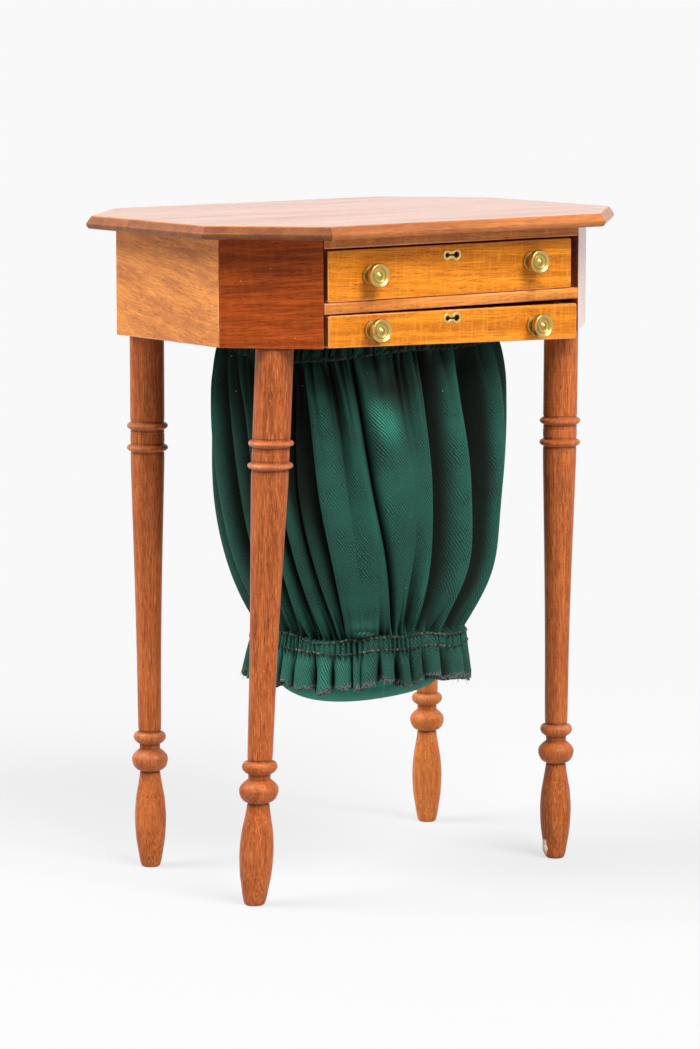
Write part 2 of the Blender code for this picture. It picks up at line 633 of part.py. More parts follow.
def bag_reaches(z, halves, turns, mouth):
    """Distances of the folded cloth's outside from the middle, at these directions and this height.

    Folds go in from the plan, as far as the space for what the bag holds lets them. They fade by a quarter sine
    towards either gathering, and below the lower one come the pleats of the ruffle.
    """
    room = BAG_ROOM_HALF if z > BAG_FOOT_ROOM_HEIGHT else BAG_FOOT_ROOM_HALF
    near = min(mouth - z, z - GATHER_HEIGHT) / BAG_FOLD_RUN
    share = math.sin(min(max(near, 0.0), 1.0) * math.pi / 2)
    pleat = RUFFLE_PLEAT if z < GATHER_HEIGHT else 0.0
    points = []
    for *_, depth, sunk in bag_folds():
        points += [share * depth + pleat] + [share * sunk] * (len(BAG_SHOULDERS) - 1)
    reaches = []
    for turn, inset in zip(turns, points):
        plan = oval_reach(halves, turn)
        free = plan - BAG_WALL - oval_reach(room, turn, BAG_ROOM_SQUARENESS)
        reaches.append(plan - max(0.0, min(inset, free)))
    return reaches


def make_bag(parent, cloth):
    """A folded cloth tube that is gathered at the bottom, and the padded base that closes it."""
    middle, _ = bag_oval()
    at = (0.0, middle, GATHER_HEIGHT)
    levels, mouth = bag_levels()
    outside, inside = [], []
    for z, halves in levels:
        turns = bag_turns(min(max((mouth - z) / (mouth - GATHER_HEIGHT), 0.0), 1.0))
        reaches = bag_reaches(z, halves, turns, mouth)
        outside.append(ring_at(turns, reaches, z - GATHER_HEIGHT))
        inside.append(ring_at(turns, [reach - BAG_WALL for reach in reaches], z - GATHER_HEIGHT))
    bm = bmesh.new()
    loft(bm, outside + inside[::-1], closed=True)
    add_piece("bag", bm, at, parent, cloth)

    turns = bag_turns(1.0)
    seat = [oval_reach(BAG_GATHER_HALF, turn) - BAG_WALL - GLUE for turn in turns]
    low = [oval_reach(BASE_HALF, turn) for turn in turns]
    edge = BASE_HEIGHT - BASE_CROWN
    rings = [ring_at(turns, seat, 0.0)]
    for i in range(1, BAG_STEPS):
        t = i / BAG_STEPS
        rings.append(ring_at(turns, [s + (b - s) * t**2 for s, b in zip(seat, low)], -edge * t))
    for i in range(BAG_STEPS):
        angle = math.pi / 2 * i / BAG_STEPS
        reaches = [reach * math.cos(angle) for reach in low]
        rings.append(ring_at(turns, reaches, -edge - BASE_CROWN * math.sin(angle)))
    bm = bmesh.new()
    loft(bm, rings)
    add_piece("bag_base", bm, at, parent, cloth)


def main():
    """Build the table."""
    clear_scene()
    top_wood = finish("polished_cherry", (0.46, 0.19, 0.08), 0.35)
    front_wood = finish("figured_cherry", (0.50, 0.23, 0.07), 0.38)
    leg_wood = finish("turned_cherry", (0.33, 0.11, 0.04), 0.42)
    inner_wood = finish("plain_cherry", (0.42, 0.22, 0.10), 0.6)
    brass = finish("turned_brass", (0.78, 0.60, 0.26), 0.28, 1.0)
    cloth = finish("green_twill", (0.005, 0.075, 0.045), 0.8)

    case = body("case", (0.0, 0.0, 0.0))
    make_table_top(case, top_wood)
    make_case(case, front_wood, inner_wood)
    for side, sx in SIDES.items():
        for end, sy in ENDS.items():
            make_leg(f"{end}_{side}", sx, sy, case, leg_wood)

    upper = body("upper_drawer", (0.0, FRONT_Y, (SHELF_TOP + UPPER_OPENING_TOP) / 2))
    make_upper_drawer(upper, front_wood, inner_wood, brass)

    slide = body("bag_slide", (0.0, FRONT_Y, (CASE_BOTTOM + SHELF_BOTTOM) / 2))
    make_lower_front(slide, front_wood, brass)
    make_bag_slide(slide, inner_wood)
    make_bag(slide, cloth)
    bpy.context.view_layer.update()


main()
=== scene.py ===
"""Looks of a miniature work table: polished boards, turned legs, brass and a gathered cloth bag.

The pieces are worked out in millimetres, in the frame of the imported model: +Z up, the floor at 0, -Y the
front with the two drawer fronts. A mesh is put down in metres.
"""

from __future__ import annotations

import json
import logging
from dataclasses import dataclass, field, replace
from enum import Enum
from functools import partial

import bpy
import numpy as np
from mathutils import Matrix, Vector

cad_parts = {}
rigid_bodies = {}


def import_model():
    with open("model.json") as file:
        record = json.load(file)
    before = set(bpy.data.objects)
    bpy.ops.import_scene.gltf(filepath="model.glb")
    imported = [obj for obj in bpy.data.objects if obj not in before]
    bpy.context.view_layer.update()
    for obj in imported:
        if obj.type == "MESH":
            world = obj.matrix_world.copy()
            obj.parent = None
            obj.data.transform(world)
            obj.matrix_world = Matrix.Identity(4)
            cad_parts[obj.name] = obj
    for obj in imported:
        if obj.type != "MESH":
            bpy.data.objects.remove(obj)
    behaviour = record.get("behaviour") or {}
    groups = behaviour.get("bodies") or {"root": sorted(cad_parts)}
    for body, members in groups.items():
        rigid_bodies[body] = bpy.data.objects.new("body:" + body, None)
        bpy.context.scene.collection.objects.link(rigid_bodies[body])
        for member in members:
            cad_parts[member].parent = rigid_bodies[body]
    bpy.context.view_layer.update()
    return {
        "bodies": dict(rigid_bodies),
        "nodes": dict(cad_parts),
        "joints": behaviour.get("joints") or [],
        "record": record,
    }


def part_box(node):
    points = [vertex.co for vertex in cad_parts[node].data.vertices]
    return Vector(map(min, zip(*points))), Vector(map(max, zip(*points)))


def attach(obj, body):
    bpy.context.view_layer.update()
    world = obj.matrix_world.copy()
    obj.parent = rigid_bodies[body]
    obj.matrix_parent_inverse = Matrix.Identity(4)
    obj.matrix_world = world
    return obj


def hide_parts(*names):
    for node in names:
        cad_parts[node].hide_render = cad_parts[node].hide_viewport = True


# Short names for types
Array, Pair, Triple = np.ndarray, tuple[float, float], tuple[float, float, float]
Floats, Pairs, Marks = tuple[float, ...], tuple[Pair, ...], dict[str, Array]
Material, Node, Piece, Socket = bpy.types.Material, bpy.types.Node, bpy.types.Object, bpy.types.NodeSocket
Adder = partial[Socket]  # add, bound to one node tree

# Settings that many nodes share
TIMES, PLUS = {"operation": "MULTIPLY"}, {"operation": "ADD"}
TINTED = {"out": 2, "data_type": "RGBA"}

LOG = logging.getLogger("work_table")
MM = 0.001
TURN = 2 * np.pi

# The viewpoint stands to the left of the front. The folds of the bag are counted from the side that faces it.
VIEW_PLACE = (-229.67, -299.25, 84.72)
VIEW_YAW = 37.433
VIEW_PITCH = -7.943
VIEW_LENS = 139.8
VIEW_SENSOR = 36.0
SEED = 7
FACING = -127.5  # the angle round the bag, from +X, of the side nearest the viewpoint


class Axis(Enum):
    """The axis a board or a turned piece runs along, as the order of (across, up, along) in x, y, z."""

    X = (2, 0, 1)
    Y = (1, 2, 0)
    Z = (0, 1, 2)

    def place(self, across: Array, up: Array, along: Array) -> Array:
        """Puts coordinates in the section's own plane and along the axis into x, y, z."""
        return np.stack(np.broadcast_arrays(across, up, along), -1)[..., list(self.value)]

    def split(self, point: Array) -> Array:
        """Takes x, y, z to (across, up, along), the reverse of place."""
        return point[..., list(np.argsort(self.value))]


class Body(Enum):
    """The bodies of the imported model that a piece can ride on."""

    CASE = "case"
    DRAWER = "upper_drawer"
    SLIDE = "bag_slide"


class Slot(Enum):
    """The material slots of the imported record."""

    TOP = "top_wood"
    CASE = "case_wood"
    FRONT = "front_wood"
    LEG = "leg_wood"
    INNER = "inner_wood"
    BRASS = "brass"
    CLOTH = "cloth"


def linear(code: str) -> Floats:
    """Turns an sRGB colour into linear light.

    Args:
        code: six hex digits.

    Returns:
        Red, green, blue and an alpha of 1.
    """
    srgb = np.array([int(code[i : i + 2], 16) for i in (0, 2, 4)]) / 255
    light = np.where(srgb <= 0.04045, srgb / 12.92, ((srgb + 0.055) / 1.055) ** 2.4)
    return (*light.tolist(), 1.0)


def connect(node: Node, inputs: dict) -> None:
    """Fills inputs of a node, by name or number: a socket is linked, a value is set."""
    for name, value in inputs.items():
        if isinstance(value, Socket):
            node.id_data.links.new(value, node.inputs[name])
        else:
            node.inputs[name].default_value = value


def add(
    tree: bpy.types.NodeTree, kind: str, inputs: dict | None = None, out: int | str = 0, **settings: object
) -> Socket:
    """Adds a node, with its settings and its inputs.

    Args:
        tree: the node tree it goes into.
        kind: Blender's name of the node without its ShaderNode prefix.
        inputs: what goes into its inputs, as connect takes it.
        out: name or number of the output that is wanted.
        settings: the node's own properties.

    Returns:
        That output, whose node has the others.
    """
    made = tree.nodes.new("ShaderNode" + kind)
    for name, value in settings.items():
        setattr(made, name, value)
    connect(made, inputs or {})
    return made.outputs[out]


def blank(name: str) -> tuple[Material, Adder, Node]:
    """Makes a new material, and hands it back with add bound to its nodes and with its shader."""
    made = bpy.data.materials.new(name)
    made.use_nodes = True
    return made, partial(add, made.node_tree), made.node_tree.nodes["Principled BSDF"]


def smooth(value: Array, low: float, high: float) -> Array:
    """A soft step from 0 below low to 1 above high: 3t^2 - 2t^3."""
    t = np.clip((value - low) / (high - low), 0, 1)
    return t * t * (3 - 2 * t)


def bell(value: Array, middle: float | Array, spread: float) -> Array:
    """A bell curve of 1 at its middle: e to the minus square of the distance, counted in spreads."""
    return np.exp(-(((value - middle) / spread) ** 2))


def sines(phase: Array, waves: Pairs) -> Array:
    """The sum of sines of a phase, each given as its height and its rate."""
    return sum(height * np.sin(rate * phase) for height, rate in waves)


def toward(turn: float | Array) -> Array:
    """The unit vector in x and y at a turn in degrees from the side that faces the viewpoint."""
    angle = np.radians(FACING + turn)
    return np.stack([np.cos(angle), np.sin(angle)], -1)


def curve_through(x: Array, knots_x: Array, knots_y: Array) -> Array:
    """A cubic through knots that never swings past them.

    Between two knots it is the Hermite cubic whose slopes are the harmonic means of the chords beside them,
    or 0 where the chords change sign.

    Args:
        x: where the curve is read.
        knots_x: rising places of the knots.
        knots_y: values at the knots, along the first axis.

    Returns:
        The values at x, with the other axes of knots_y after that of x.
    """
    knots_x, knots_y = np.asarray(knots_x, float), np.asarray(knots_y, float)
    step = np.diff(knots_x).reshape(-1, *[1] * (knots_y.ndim - 1))
    chord = np.diff(knots_y, axis=0) / step
    same = chord[:-1] * chord[1:] > 0
    total = np.where(same, chord[:-1] + chord[1:], 1)
    slope = np.concatenate([chord[:1], np.where(same, 2 * chord[:-1] * chord[1:] / total, 0), chord[-1:]])
    i = np.clip(np.searchsorted(knots_x, x) - 1, 0, len(step) - 1)
    t = np.clip((np.asarray(x, float) - knots_x[i]) / np.diff(knots_x)[i], 0, 1)
    t = t.reshape(*np.shape(x), *[1] * (knots_y.ndim - 1))
    ease = t * t * (3 - 2 * t)
    bend = step[i] * t * (1 - t) * ((1 - t) * slope[i] - t * slope[i + 1])
    return knots_y[i] * (1 - ease) + knots_y[i + 1] * ease + bend


def normals(points: Array, around: bool = True) -> Array:
    """Outward directions of a grid: the cross of its steps along the row and from row to row.

    Args:
        points: a grid of rows, anticlockwise seen from the end that the rows run towards.
        around: whether a row closes on itself.

    Returns:
        Unit vectors in the same grid.
    """
    if around:
        across = np.roll(points, -1, 1) - np.roll(points, 1, 1)
    else:
        across = np.gradient(points, axis=1)
    out = np.cross(across, np.gradient(points, axis=0))
    return out / np.maximum(np.linalg.norm(out, axis=-1, keepdims=True), 1e-12)


class Skin:
    """Grids of points in millimetres that together make one mesh."""

    def __init__(self) -> None:
        """Starts with no points."""
        self.points: list[Array] = []
        self.corners: list[Array] = []
        self.sizes: list[Array] = []
        self.cloth: list[Array] = []
        self.marks: list[Marks] = []
        self.count = 0

    def grid(
        self, points: Array, around: bool = True, closed: bool = False,
        cloth: Array | None = None, **marks: Array,
    ) -> Array:
        """Adds a grid of rows as four-sided faces.

        Args:
            points: rows of points, anticlockwise seen from the end that the rows run towards.
            around: whether each row closes on itself.
            closed: whether the last row joins the first.
            cloth: places on the flat cloth, with a row and a column more than the faces need.
            marks: numbers kept at the points, which the finishes read by name.

        Returns:
            The numbers of the points, as a grid.
        """
        rows, columns = points.shape[:2]
        index = self.count + np.arange(rows * columns).reshape(rows, columns)
        i, j = np.indices((rows if closed else rows - 1, columns if around else columns - 1))
        corner = [(i, j), (i, j + 1), (i + 1, j + 1), (i + 1, j)]
        self.corners.append(np.stack([index[a % rows, b % columns] for a, b in corner], -1).reshape(-1))
        self.sizes.append(np.full(i.size, 4))
        flat = np.zeros((i.size * 4, 2)) if cloth is None else np.stack([cloth[a, b] for a, b in corner], -2)
        self.cloth.append(flat.reshape(-1, 2))
        self.points.append(points.reshape(-1, 3))
        self.marks.append({name: np.broadcast_to(x, index.shape).reshape(-1) for name, x in marks.items()})
        self.count += rows * columns
        return index

    def cap(self, ring: Array) -> None:
        """Closes a ring of point numbers, which runs anticlockwise seen from outside, with one face."""
        self.corners.append(ring)
        self.sizes.append(np.array([len(ring)]))
        self.cloth.append(np.zeros((len(ring), 2)))

    def tube(self, points: Array, **marks: Array) -> None:
        """Adds a grid that is closed by a face at each end."""
        index = self.grid(points, **marks)
        self.cap(index[0, ::-1])
        self.cap(index[-1])

    def piece(self, name: str, finish: Material, crease: float | None = 40.0) -> Piece:
        """Makes the object, at the origin and with its place in its mesh.

        Args:
            name: the piece's name.
            finish: its material.
            crease: the angle in degrees from which an edge looks sharp, or None to keep large faces flat.

        Returns:
            The object.
        """
        mesh = bpy.data.meshes.new(name)
        points, corners, sizes = (np.concatenate(x) for x in (self.points, self.corners, self.sizes))
        mesh.vertices.add(len(points))
        mesh.vertices.foreach_set("co", (points * MM).astype(np.float32).ravel())
        mesh.loops.add(len(corners))
        mesh.loops.foreach_set("vertex_index", corners.astype(np.int32))
        mesh.polygons.add(len(sizes))
        mesh.polygons.foreach_set("loop_start", (np.cumsum(sizes) - sizes).astype(np.int32))
        mesh.update(calc_edges=True)
        flat = np.concatenate(self.cloth).astype(np.float32).ravel()
        mesh.uv_layers.new(name="cloth").data.foreach_set("uv", flat)
        for mark in sorted({name for marks in self.marks for name in marks}):
            values = [m.get(mark, np.zeros(len(p))) for m, p in zip(self.marks, self.points)]
            values = np.concatenate(values).astype(np.float32)
            mesh.attributes.new(mark, "FLOAT", "POINT").data.foreach_set("value", values)
        mesh.validate()
        mesh.shade_smooth()
        mesh.materials.append(finish)
        made = bpy.data.objects.new(name, mesh)
        bpy.context.scene.collection.objects.link(made)
        if crease is None:
            even = made.modifiers.new("flat_faces_stay_flat", "WEIGHTED_NORMAL")
            even.mode = "FACE_AREA"
            even.weight = 100
        else:
            mesh.set_sharp_from_angle(angle=np.radians(crease))
        return made


def settle(piece: Piece, body: Body, slot: Slot, *nodes: str) -> Piece:
    """Makes a piece ride on its body and stand for its nodes, and reports it."""
    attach(piece, body.value)
    if nodes:
        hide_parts(*nodes)
    LOG.info("%s: %d faces on %s", piece.name, len(piece.data.polygons), body.value)
    return piece


def span(node: str) -> tuple[Array, Array]:
    """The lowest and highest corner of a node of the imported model, in millimetres."""
    low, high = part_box(node)
    return np.array(low) / MM, np.array(high) / MM


# Shapes

ARC_STEPS = 4


def rounded(corners: Array, radius: float) -> tuple[Array, Array, Array]:
    """Rounds the corners of an anticlockwise polygon.

    A corner becomes an arc about the point that lies one radius inside both of its edges: the corner less the
    radius times (n0 + n1) / (1 + n0.n1), n0 and n1 being the outward directions of those edges.

    Args:
        corners: the polygon, or several of them, as (..., corner, 2).
        radius: radius of the arcs.

    Returns:
        The points, their outward directions, and for one polygon a wear of 1 on the arcs and 0 at their ends.
    """
    into = corners - np.roll(corners, 1, -2)
    into = into / np.linalg.norm(into, axis=-1, keepdims=True)
    before = np.stack([into[..., 1], -into[..., 0]], -1)
    after = np.roll(before, -1, -2)
    cosine = (before * after).sum(-1, keepdims=True)
    centre = corners - radius * (before + after) / (1 + cosine)
    start = np.arctan2(before[..., 1], before[..., 0])[..., None]
    share = np.linspace(0, 1, ARC_STEPS + 1)
    angle = start + np.arccos(np.clip(cosine, -1, 1)) * share
    out = np.stack([np.cos(angle), np.sin(angle)], -1)
    points = centre[..., None, :] + radius * out
    shape = (*corners.shape[:-2], -1, 2)
    wear = np.tile((share > 0) & (share < 1), corners.shape[-2]).astype(float)
    return points.reshape(shape), out.reshape(shape), wear


@dataclass(frozen=True)
class Pit:
    """A hole sunk into the first face of a prism, of the same outline as that face."""

    centre: Pair
    halves: Pair
    depth: float


def prism(corners: Array, low: float, high: float, edge: float, axis: Axis, pit: Pit | None = None) -> Skin:
    """A straight bar of any section with softly broken edges.

    The section, with rounded corners, is carried along the axis. Near each end it is drawn in along a quarter
    circle: inset r(1 - sin a) at height r(1 - cos a).

    Args:
        corners: the section's corners across and up, anticlockwise.
        low: where the bar starts along the axis.
        high: where it ends.
        edge: radius of the broken edges.
        axis: the axis it runs along.
        pit: a hole in its first face.

    Returns:
        The closed skin, with its wear.
    """
    points, out, corner_wear = rounded(corners, 2 * edge)
    angle = np.linspace(0, np.pi / 2, ARC_STEPS + 1)
    inset = np.concatenate([[1.5 * edge], edge * (1 - np.sin(angle))])
    rise = np.concatenate([[0], edge * (1 - np.cos(angle))])
    end_wear = np.concatenate([[0], (angle > 0) & (angle < np.pi / 2)]).astype(float)
    insets = np.concatenate([inset, inset[::-1]])
    along = np.concatenate([low + rise, high - rise[::-1]])
    wear = np.maximum(np.concatenate([end_wear, end_wear[::-1]])[:, None], corner_wear)
    wear[[0, 1, -2, -1]] = 0
    plane = points - insets[:, None, None] * out
    if pit:
        centre, halves = np.array(pit.centre), np.array(pit.halves)
        ring = plane[0] - (plane[0].min(0) + plane[0].max(0)) / 2
        ring = centre + halves * ring / np.abs(ring).max(0)
        lip = centre + (ring - centre) * 1.04
        plane = np.concatenate([[ring, ring, lip], plane])
        along = np.concatenate([[low + pit.depth, low, low], along])
        # The pit's wall and floor take a wear of -1, which the finish darkens: painted shade in the hole.
        wear = np.concatenate([np.full((2, len(ring)), -1.0), np.zeros((1, len(ring))), wear])
    skin = Skin()
    skin.tube(axis.place(plane[..., 0], plane[..., 1], along[:, None]), wear=wear)
    return skin


def board_between(low: Array, high: Array, edge: float, axis: Axis) -> Skin:
    """A rectangular board between two corners, as a prism along its grain."""
    a, b = axis.split(low), axis.split(high)
    corners = np.array([(a[0], a[1]), (b[0], a[1]), (b[0], b[1]), (a[0], b[1])])
    return prism(corners, a[2], b[2], min(edge, 0.2 * float((b - a).min())), axis)


def anticlockwise(corners: Array) -> Array:
    """The polygon, turned round if its area by the shoelace sum is negative."""
    x, y = corners.T
    area = (x * np.roll(y, -1) - y * np.roll(x, -1)).sum()
    return corners if area > 0 else corners[::-1]


def profile_wear(along: Array, radius: Array, reach: float) -> Array:
    """Where a turned outline is worn and where it holds dirt.

    It is the outline less its own average over a stretch, so a crest is above 0 and a groove below.

    Args:
        along: evenly spaced places along the axis.
        radius: the outline's radius at each.
        reach: half the stretch that is averaged.

    Returns:
        A number from -1 to 1 at each place.
    """
    count = max(1, int(reach / (along[1] - along[0])))
    kernel = np.hanning(2 * count + 3)[1:-1]
    padded = np.pad(radius, count, mode="edge")
    return np.clip((radius - np.convolve(padded, kernel / kernel.sum(), "valid")) * 7, -1, 1)


def egg_rows(rows: int, columns: int) -> tuple[Array, Array, Array]:
    """A unit egg as (along, across, up), with poles that nearly close: the sine and cosine of two angles."""
    a = np.linspace(0.05, np.pi - 0.05, rows)[:, None]
    b = np.linspace(0, TURN, columns, endpoint=False)
    return -np.cos(a) + 0 * b, np.sin(a) * np.cos(b), np.sin(a) * np.sin(b)


# Finishes


@dataclass(frozen=True)
class Wood:
    """Polished cherry: fine fibres, darker growth lines, short pores and a ripple that glows across them.

    To the eye it is a warm brown that changes with each board, with a thin shine of wax, pale on worn edges
    and dark where dust and old polish sit, and dark with painted shade where a piece marks a pit or the top's
    underside as hollow. Lengths are in millimetres, along and across the fibres.
    """

    name: str
    light: str
    dark: str
    glow: str = "F0A040"
    pore: str = "4A1E0C"
    pale: str = "E8B48C"
    fleck: str = "D48850"
    grime: str = "2A0F08"
    axis: Axis = Axis.X
    tilt: Triple = (0.0, 0.0, 0.0)
    shift: Triple = (0.0, 0.0, 0.0)
    figure: Pair = (16.0, 0.9)
    fibre: Pair = (2.6, 0.11)
    pores: Pair = (0.8, 0.055)
    ripple: Pair = (0.5, 3.2)
    figure_share: float = 0.75
    cloud_share: float = 0.25
    ripple_share: float = 0.3
    fibre_share: float = 0.55
    turning_share: float = 0.0
    pore_share: float = 0.65
    fleck_share: float = 0.0
    end_share: float = 0.0
    pale_share: float = 0.65
    hollow_share: float = 0.8
    dust_share: float = 0.6
    roughness: float = 0.42
    shine: float = 0.2
    coat: float = 0.03
    haze: float = 0.0  # of fine dust, seen along the surface
    face_polish: bool = False  # the coat is only on faces marked as polished

    CLOUD = (7.0, 5.0)
    TURNING = (0.1, 14.0)  # the tool's marks on a turned piece
    FLECK = (1.3, 0.07)  # short pale fibres that catch the light
    DUST = 0.9  # between grains of dust
    GRAIN_EDGE = (0.07, 0.03)  # outer and inner radius of a grain, as shares of that distance
    GRAIN_RARITY = 0.88  # share of the grains that are missing
    # The hollow mark also carries painted shade, in the keyhole pits and under the top's nose
    DIRT = 0.85  # how full of old polish the deepest hollow is
    ROUGHNESS_SPREAD = (-0.05, 0.12)  # between the fibres and on them
    RELIEF = 0.006
    RELIEF_STRENGTH = 0.5
    COAT_ROUGHNESS = 0.22
    POLISH_IOR = 1.85  # of thick old varnish
    POLISH_SPREAD = (1.1, 0.74)  # between the growth lines and on them
    HAZE_ROUGHNESS = 0.3
    HAZE_TINT = "FFEAE4"

    def streaks(self, put: Adder, wood: Socket, size: Pair, detail: float, low: float, high: float) -> Socket:
        """Noise drawn out along the fibres, as a soft step.

        Args:
            put: adds a node.
            wood: places in the wood's own axes.
            size: length of a streak along and across.
            detail: how many finer noises ride on it.
            low: the noise at which a streak begins.
            high: the noise at which it is full.

        Returns:
            How much of a streak there is, from 0 to 1.
        """
        along, across = size
        drawn = put("Mapping", {"Vector": wood, "Scale": (1 / along, 1 / across, 1 / across)})
        settings = {"Scale": 1.0, "Detail": detail, "Roughness": 0.6, "Distortion": 0.3}
        noise = put("TexNoise", {"Vector": drawn, **settings})
        step = {"Value": noise, "From Min": low, "From Max": high}
        return put("MapRange", step, interpolation_type="SMOOTHSTEP")

    def dust(self, put: Adder, wood: Socket) -> Socket:
        """Scattered grains of dust: small discs at a few of the middles of random cells."""
        cell = put("TexVoronoi", {"Vector": wood, "Scale": 1 / self.DUST, "Randomness": 1.0})
        outer, inner = self.GRAIN_EDGE
        grain = put("MapRange", {"Value": cell, "From Min": outer, "From Max": inner})
        luck = put("SeparateColor", {"Color": cell.node.outputs["Color"]})
        rare = put("Math", {0: luck, 1: self.GRAIN_RARITY}, operation="GREATER_THAN")
        return put("Math", {0: grain, 1: rare}, **TIMES)

    def material(self) -> Material:
        """Makes the material: stretched noises in the wood's own axes, mixed over one another.

        Returns:
            The material.
        """
        made, put, shader = blank(self.name)
        place = put("TexCoord", out="Object")
        quarter = {Axis.X: (0, 0, 0), Axis.Y: (0, 0, -90), Axis.Z: (0, 90, 0)}[self.axis]
        laid = {"Rotation": tuple(np.radians(self.tilt)), "Scale": (1 / MM,) * 3, "Location": self.shift}
        tilted = put("Mapping", {"Vector": place, **laid})
        wood = put("Mapping", {"Vector": tilted, "Rotation": tuple(np.radians(quarter))})
        noises = (
            (self.figure, 3.0, 0.36, 0.66), (self.fibre, 4.0, 0.40, 0.70), (self.pores, 2.0, 0.57, 0.68),
            (self.ripple, 2.0, 0.46, 0.72), (self.CLOUD, 2.0, 0.35, 0.7), (self.TURNING, 2.0, 0.42, 0.62),
            (self.FLECK, 2.0, 0.48, 0.72),
        )
        streaks = (self.streaks(put, wood, *row) for row in noises)
        figure, fibre, pores, ripple, cloud, turning, fleck = streaks
        worn = put("Attribute", out="Fac", attribute_name="wear")
        ended = put("Attribute", out="Fac", attribute_name="end_grain")
        crest = put("Math", {0: worn, 1: cloud}, use_clamp=True, **TIMES)
        hollow = put("Math", {0: worn, 1: -self.DIRT}, use_clamp=True, **TIMES)
        colour = put("RGB")
        colour.default_value = linear(self.light)
        for factor, share, tint in (
            (figure, self.figure_share, self.dark),
            (cloud, self.cloud_share, self.dark),
            (ripple, self.ripple_share, self.glow),
            (fibre, self.fibre_share, self.dark),
            (turning, self.turning_share, self.pore),
            (pores, self.pore_share, self.pore),
            (fleck, self.fleck_share, self.fleck),
            (ended, self.end_share, self.grime),
            (crest, self.pale_share, self.pale),
            (hollow, self.hollow_share, self.grime),
            (self.dust(put, wood), self.dust_share, self.pale),
        ):
            if share:
                amount = put("Math", {0: factor, 1: share}, **TIMES)
                colour = put("Mix", {0: amount, 6: colour, 7: linear(tint)}, **TINTED)
        low, high = (self.roughness + change for change in self.ROUGHNESS_SPREAD)
        relief = put("Math", {0: fibre, 1: pores}, **PLUS)
        if self.turning_share:
            relief = put("Math", {0: relief, 1: turning}, **PLUS)
        raised = {"Height": relief, "Strength": self.RELIEF_STRENGTH, "Distance": self.RELIEF * MM}
        coat = self.coat
        if self.face_polish:
            polish = put("Attribute", out="Fac", attribute_name="polish")
            most, least = self.POLISH_SPREAD
            even = put("MapRange", {"Value": figure, "To Min": most, "To Max": least})
            coat = put("Math", {0: polish, 1: even}, **TIMES)
            connect(shader, {"Coat IOR": self.POLISH_IOR})
        connect(shader, {
            "Base Color": colour,
            "Roughness": put("MapRange", {"Value": fibre, "To Min": low, "To Max": high}),
            "Normal": put("Bump", raised, invert=True),
            "Specular IOR Level": self.shine,
            "Coat Weight": coat,
            "Coat Roughness": self.COAT_ROUGHNESS,
            "Sheen Weight": self.haze,
            "Sheen Roughness": self.HAZE_ROUGHNESS,
            "Sheen Tint": linear(self.HAZE_TINT),
        })
        return made


@dataclass(frozen=True)
class Brass:
    """Turned yellow brass, lacquered long ago: a soft mirror with the tool's fine rings, brown in grooves."""

    name: str
    bright: str
    tarnish: str
    roughness: float
    ring: float = 0.11  # between the tool's rings

    CLOUDS = 1.1  # of tarnish, to the millimetre
    SPOTTED = 0.55  # how dull a cloud is
    DULLED = 0.3  # added to the roughness where the brass is dull
    RELIEF = 0.006
    RELIEF_STRENGTH = 0.35

    def material(self) -> Material:
        """Makes the material from the distance along the turned outline and a cloud of tarnish.

        Returns:
            The material.
        """
        made, put, shader = blank(self.name)
        noise = {"Scale": self.CLOUDS / MM, "Detail": 4.0, "Roughness": 0.65}
        cloud = put("TexNoise", {"Vector": put("TexCoord", out="Object"), **noise})
        step = {"From Min": 0.5, "From Max": 0.75, "To Max": self.SPOTTED}
        spotted = put("MapRange", {"Value": cloud, **step})
        worn = put("Attribute", out="Fac", attribute_name="wear")
        hollow = put("Math", {0: worn, 1: -1.0}, use_clamp=True, **TIMES)
        dull = put("Math", {0: hollow, 1: spotted}, use_clamp=True, **PLUS)
        tints = {6: linear(self.bright), 7: linear(self.tarnish)}
        rough = {"Value": dull, "To Min": self.roughness, "To Max": self.roughness + self.DULLED}
        turned = put("Attribute", out="Fac", attribute_name="turned")
        phase = put("Math", {0: turned, 1: TURN / self.ring}, **TIMES)
        wave = put("Math", {0: phase}, operation="SINE")
        raised = {"Height": wave, "Strength": self.RELIEF_STRENGTH, "Distance": self.RELIEF * MM}
        connect(shader, {
            "Base Color": put("Mix", {0: dull, **tints}, **TINTED),
            "Roughness": put("MapRange", rough),
            "Normal": put("Bump", raised),
            "Metallic": 1.0,
        })
        return made


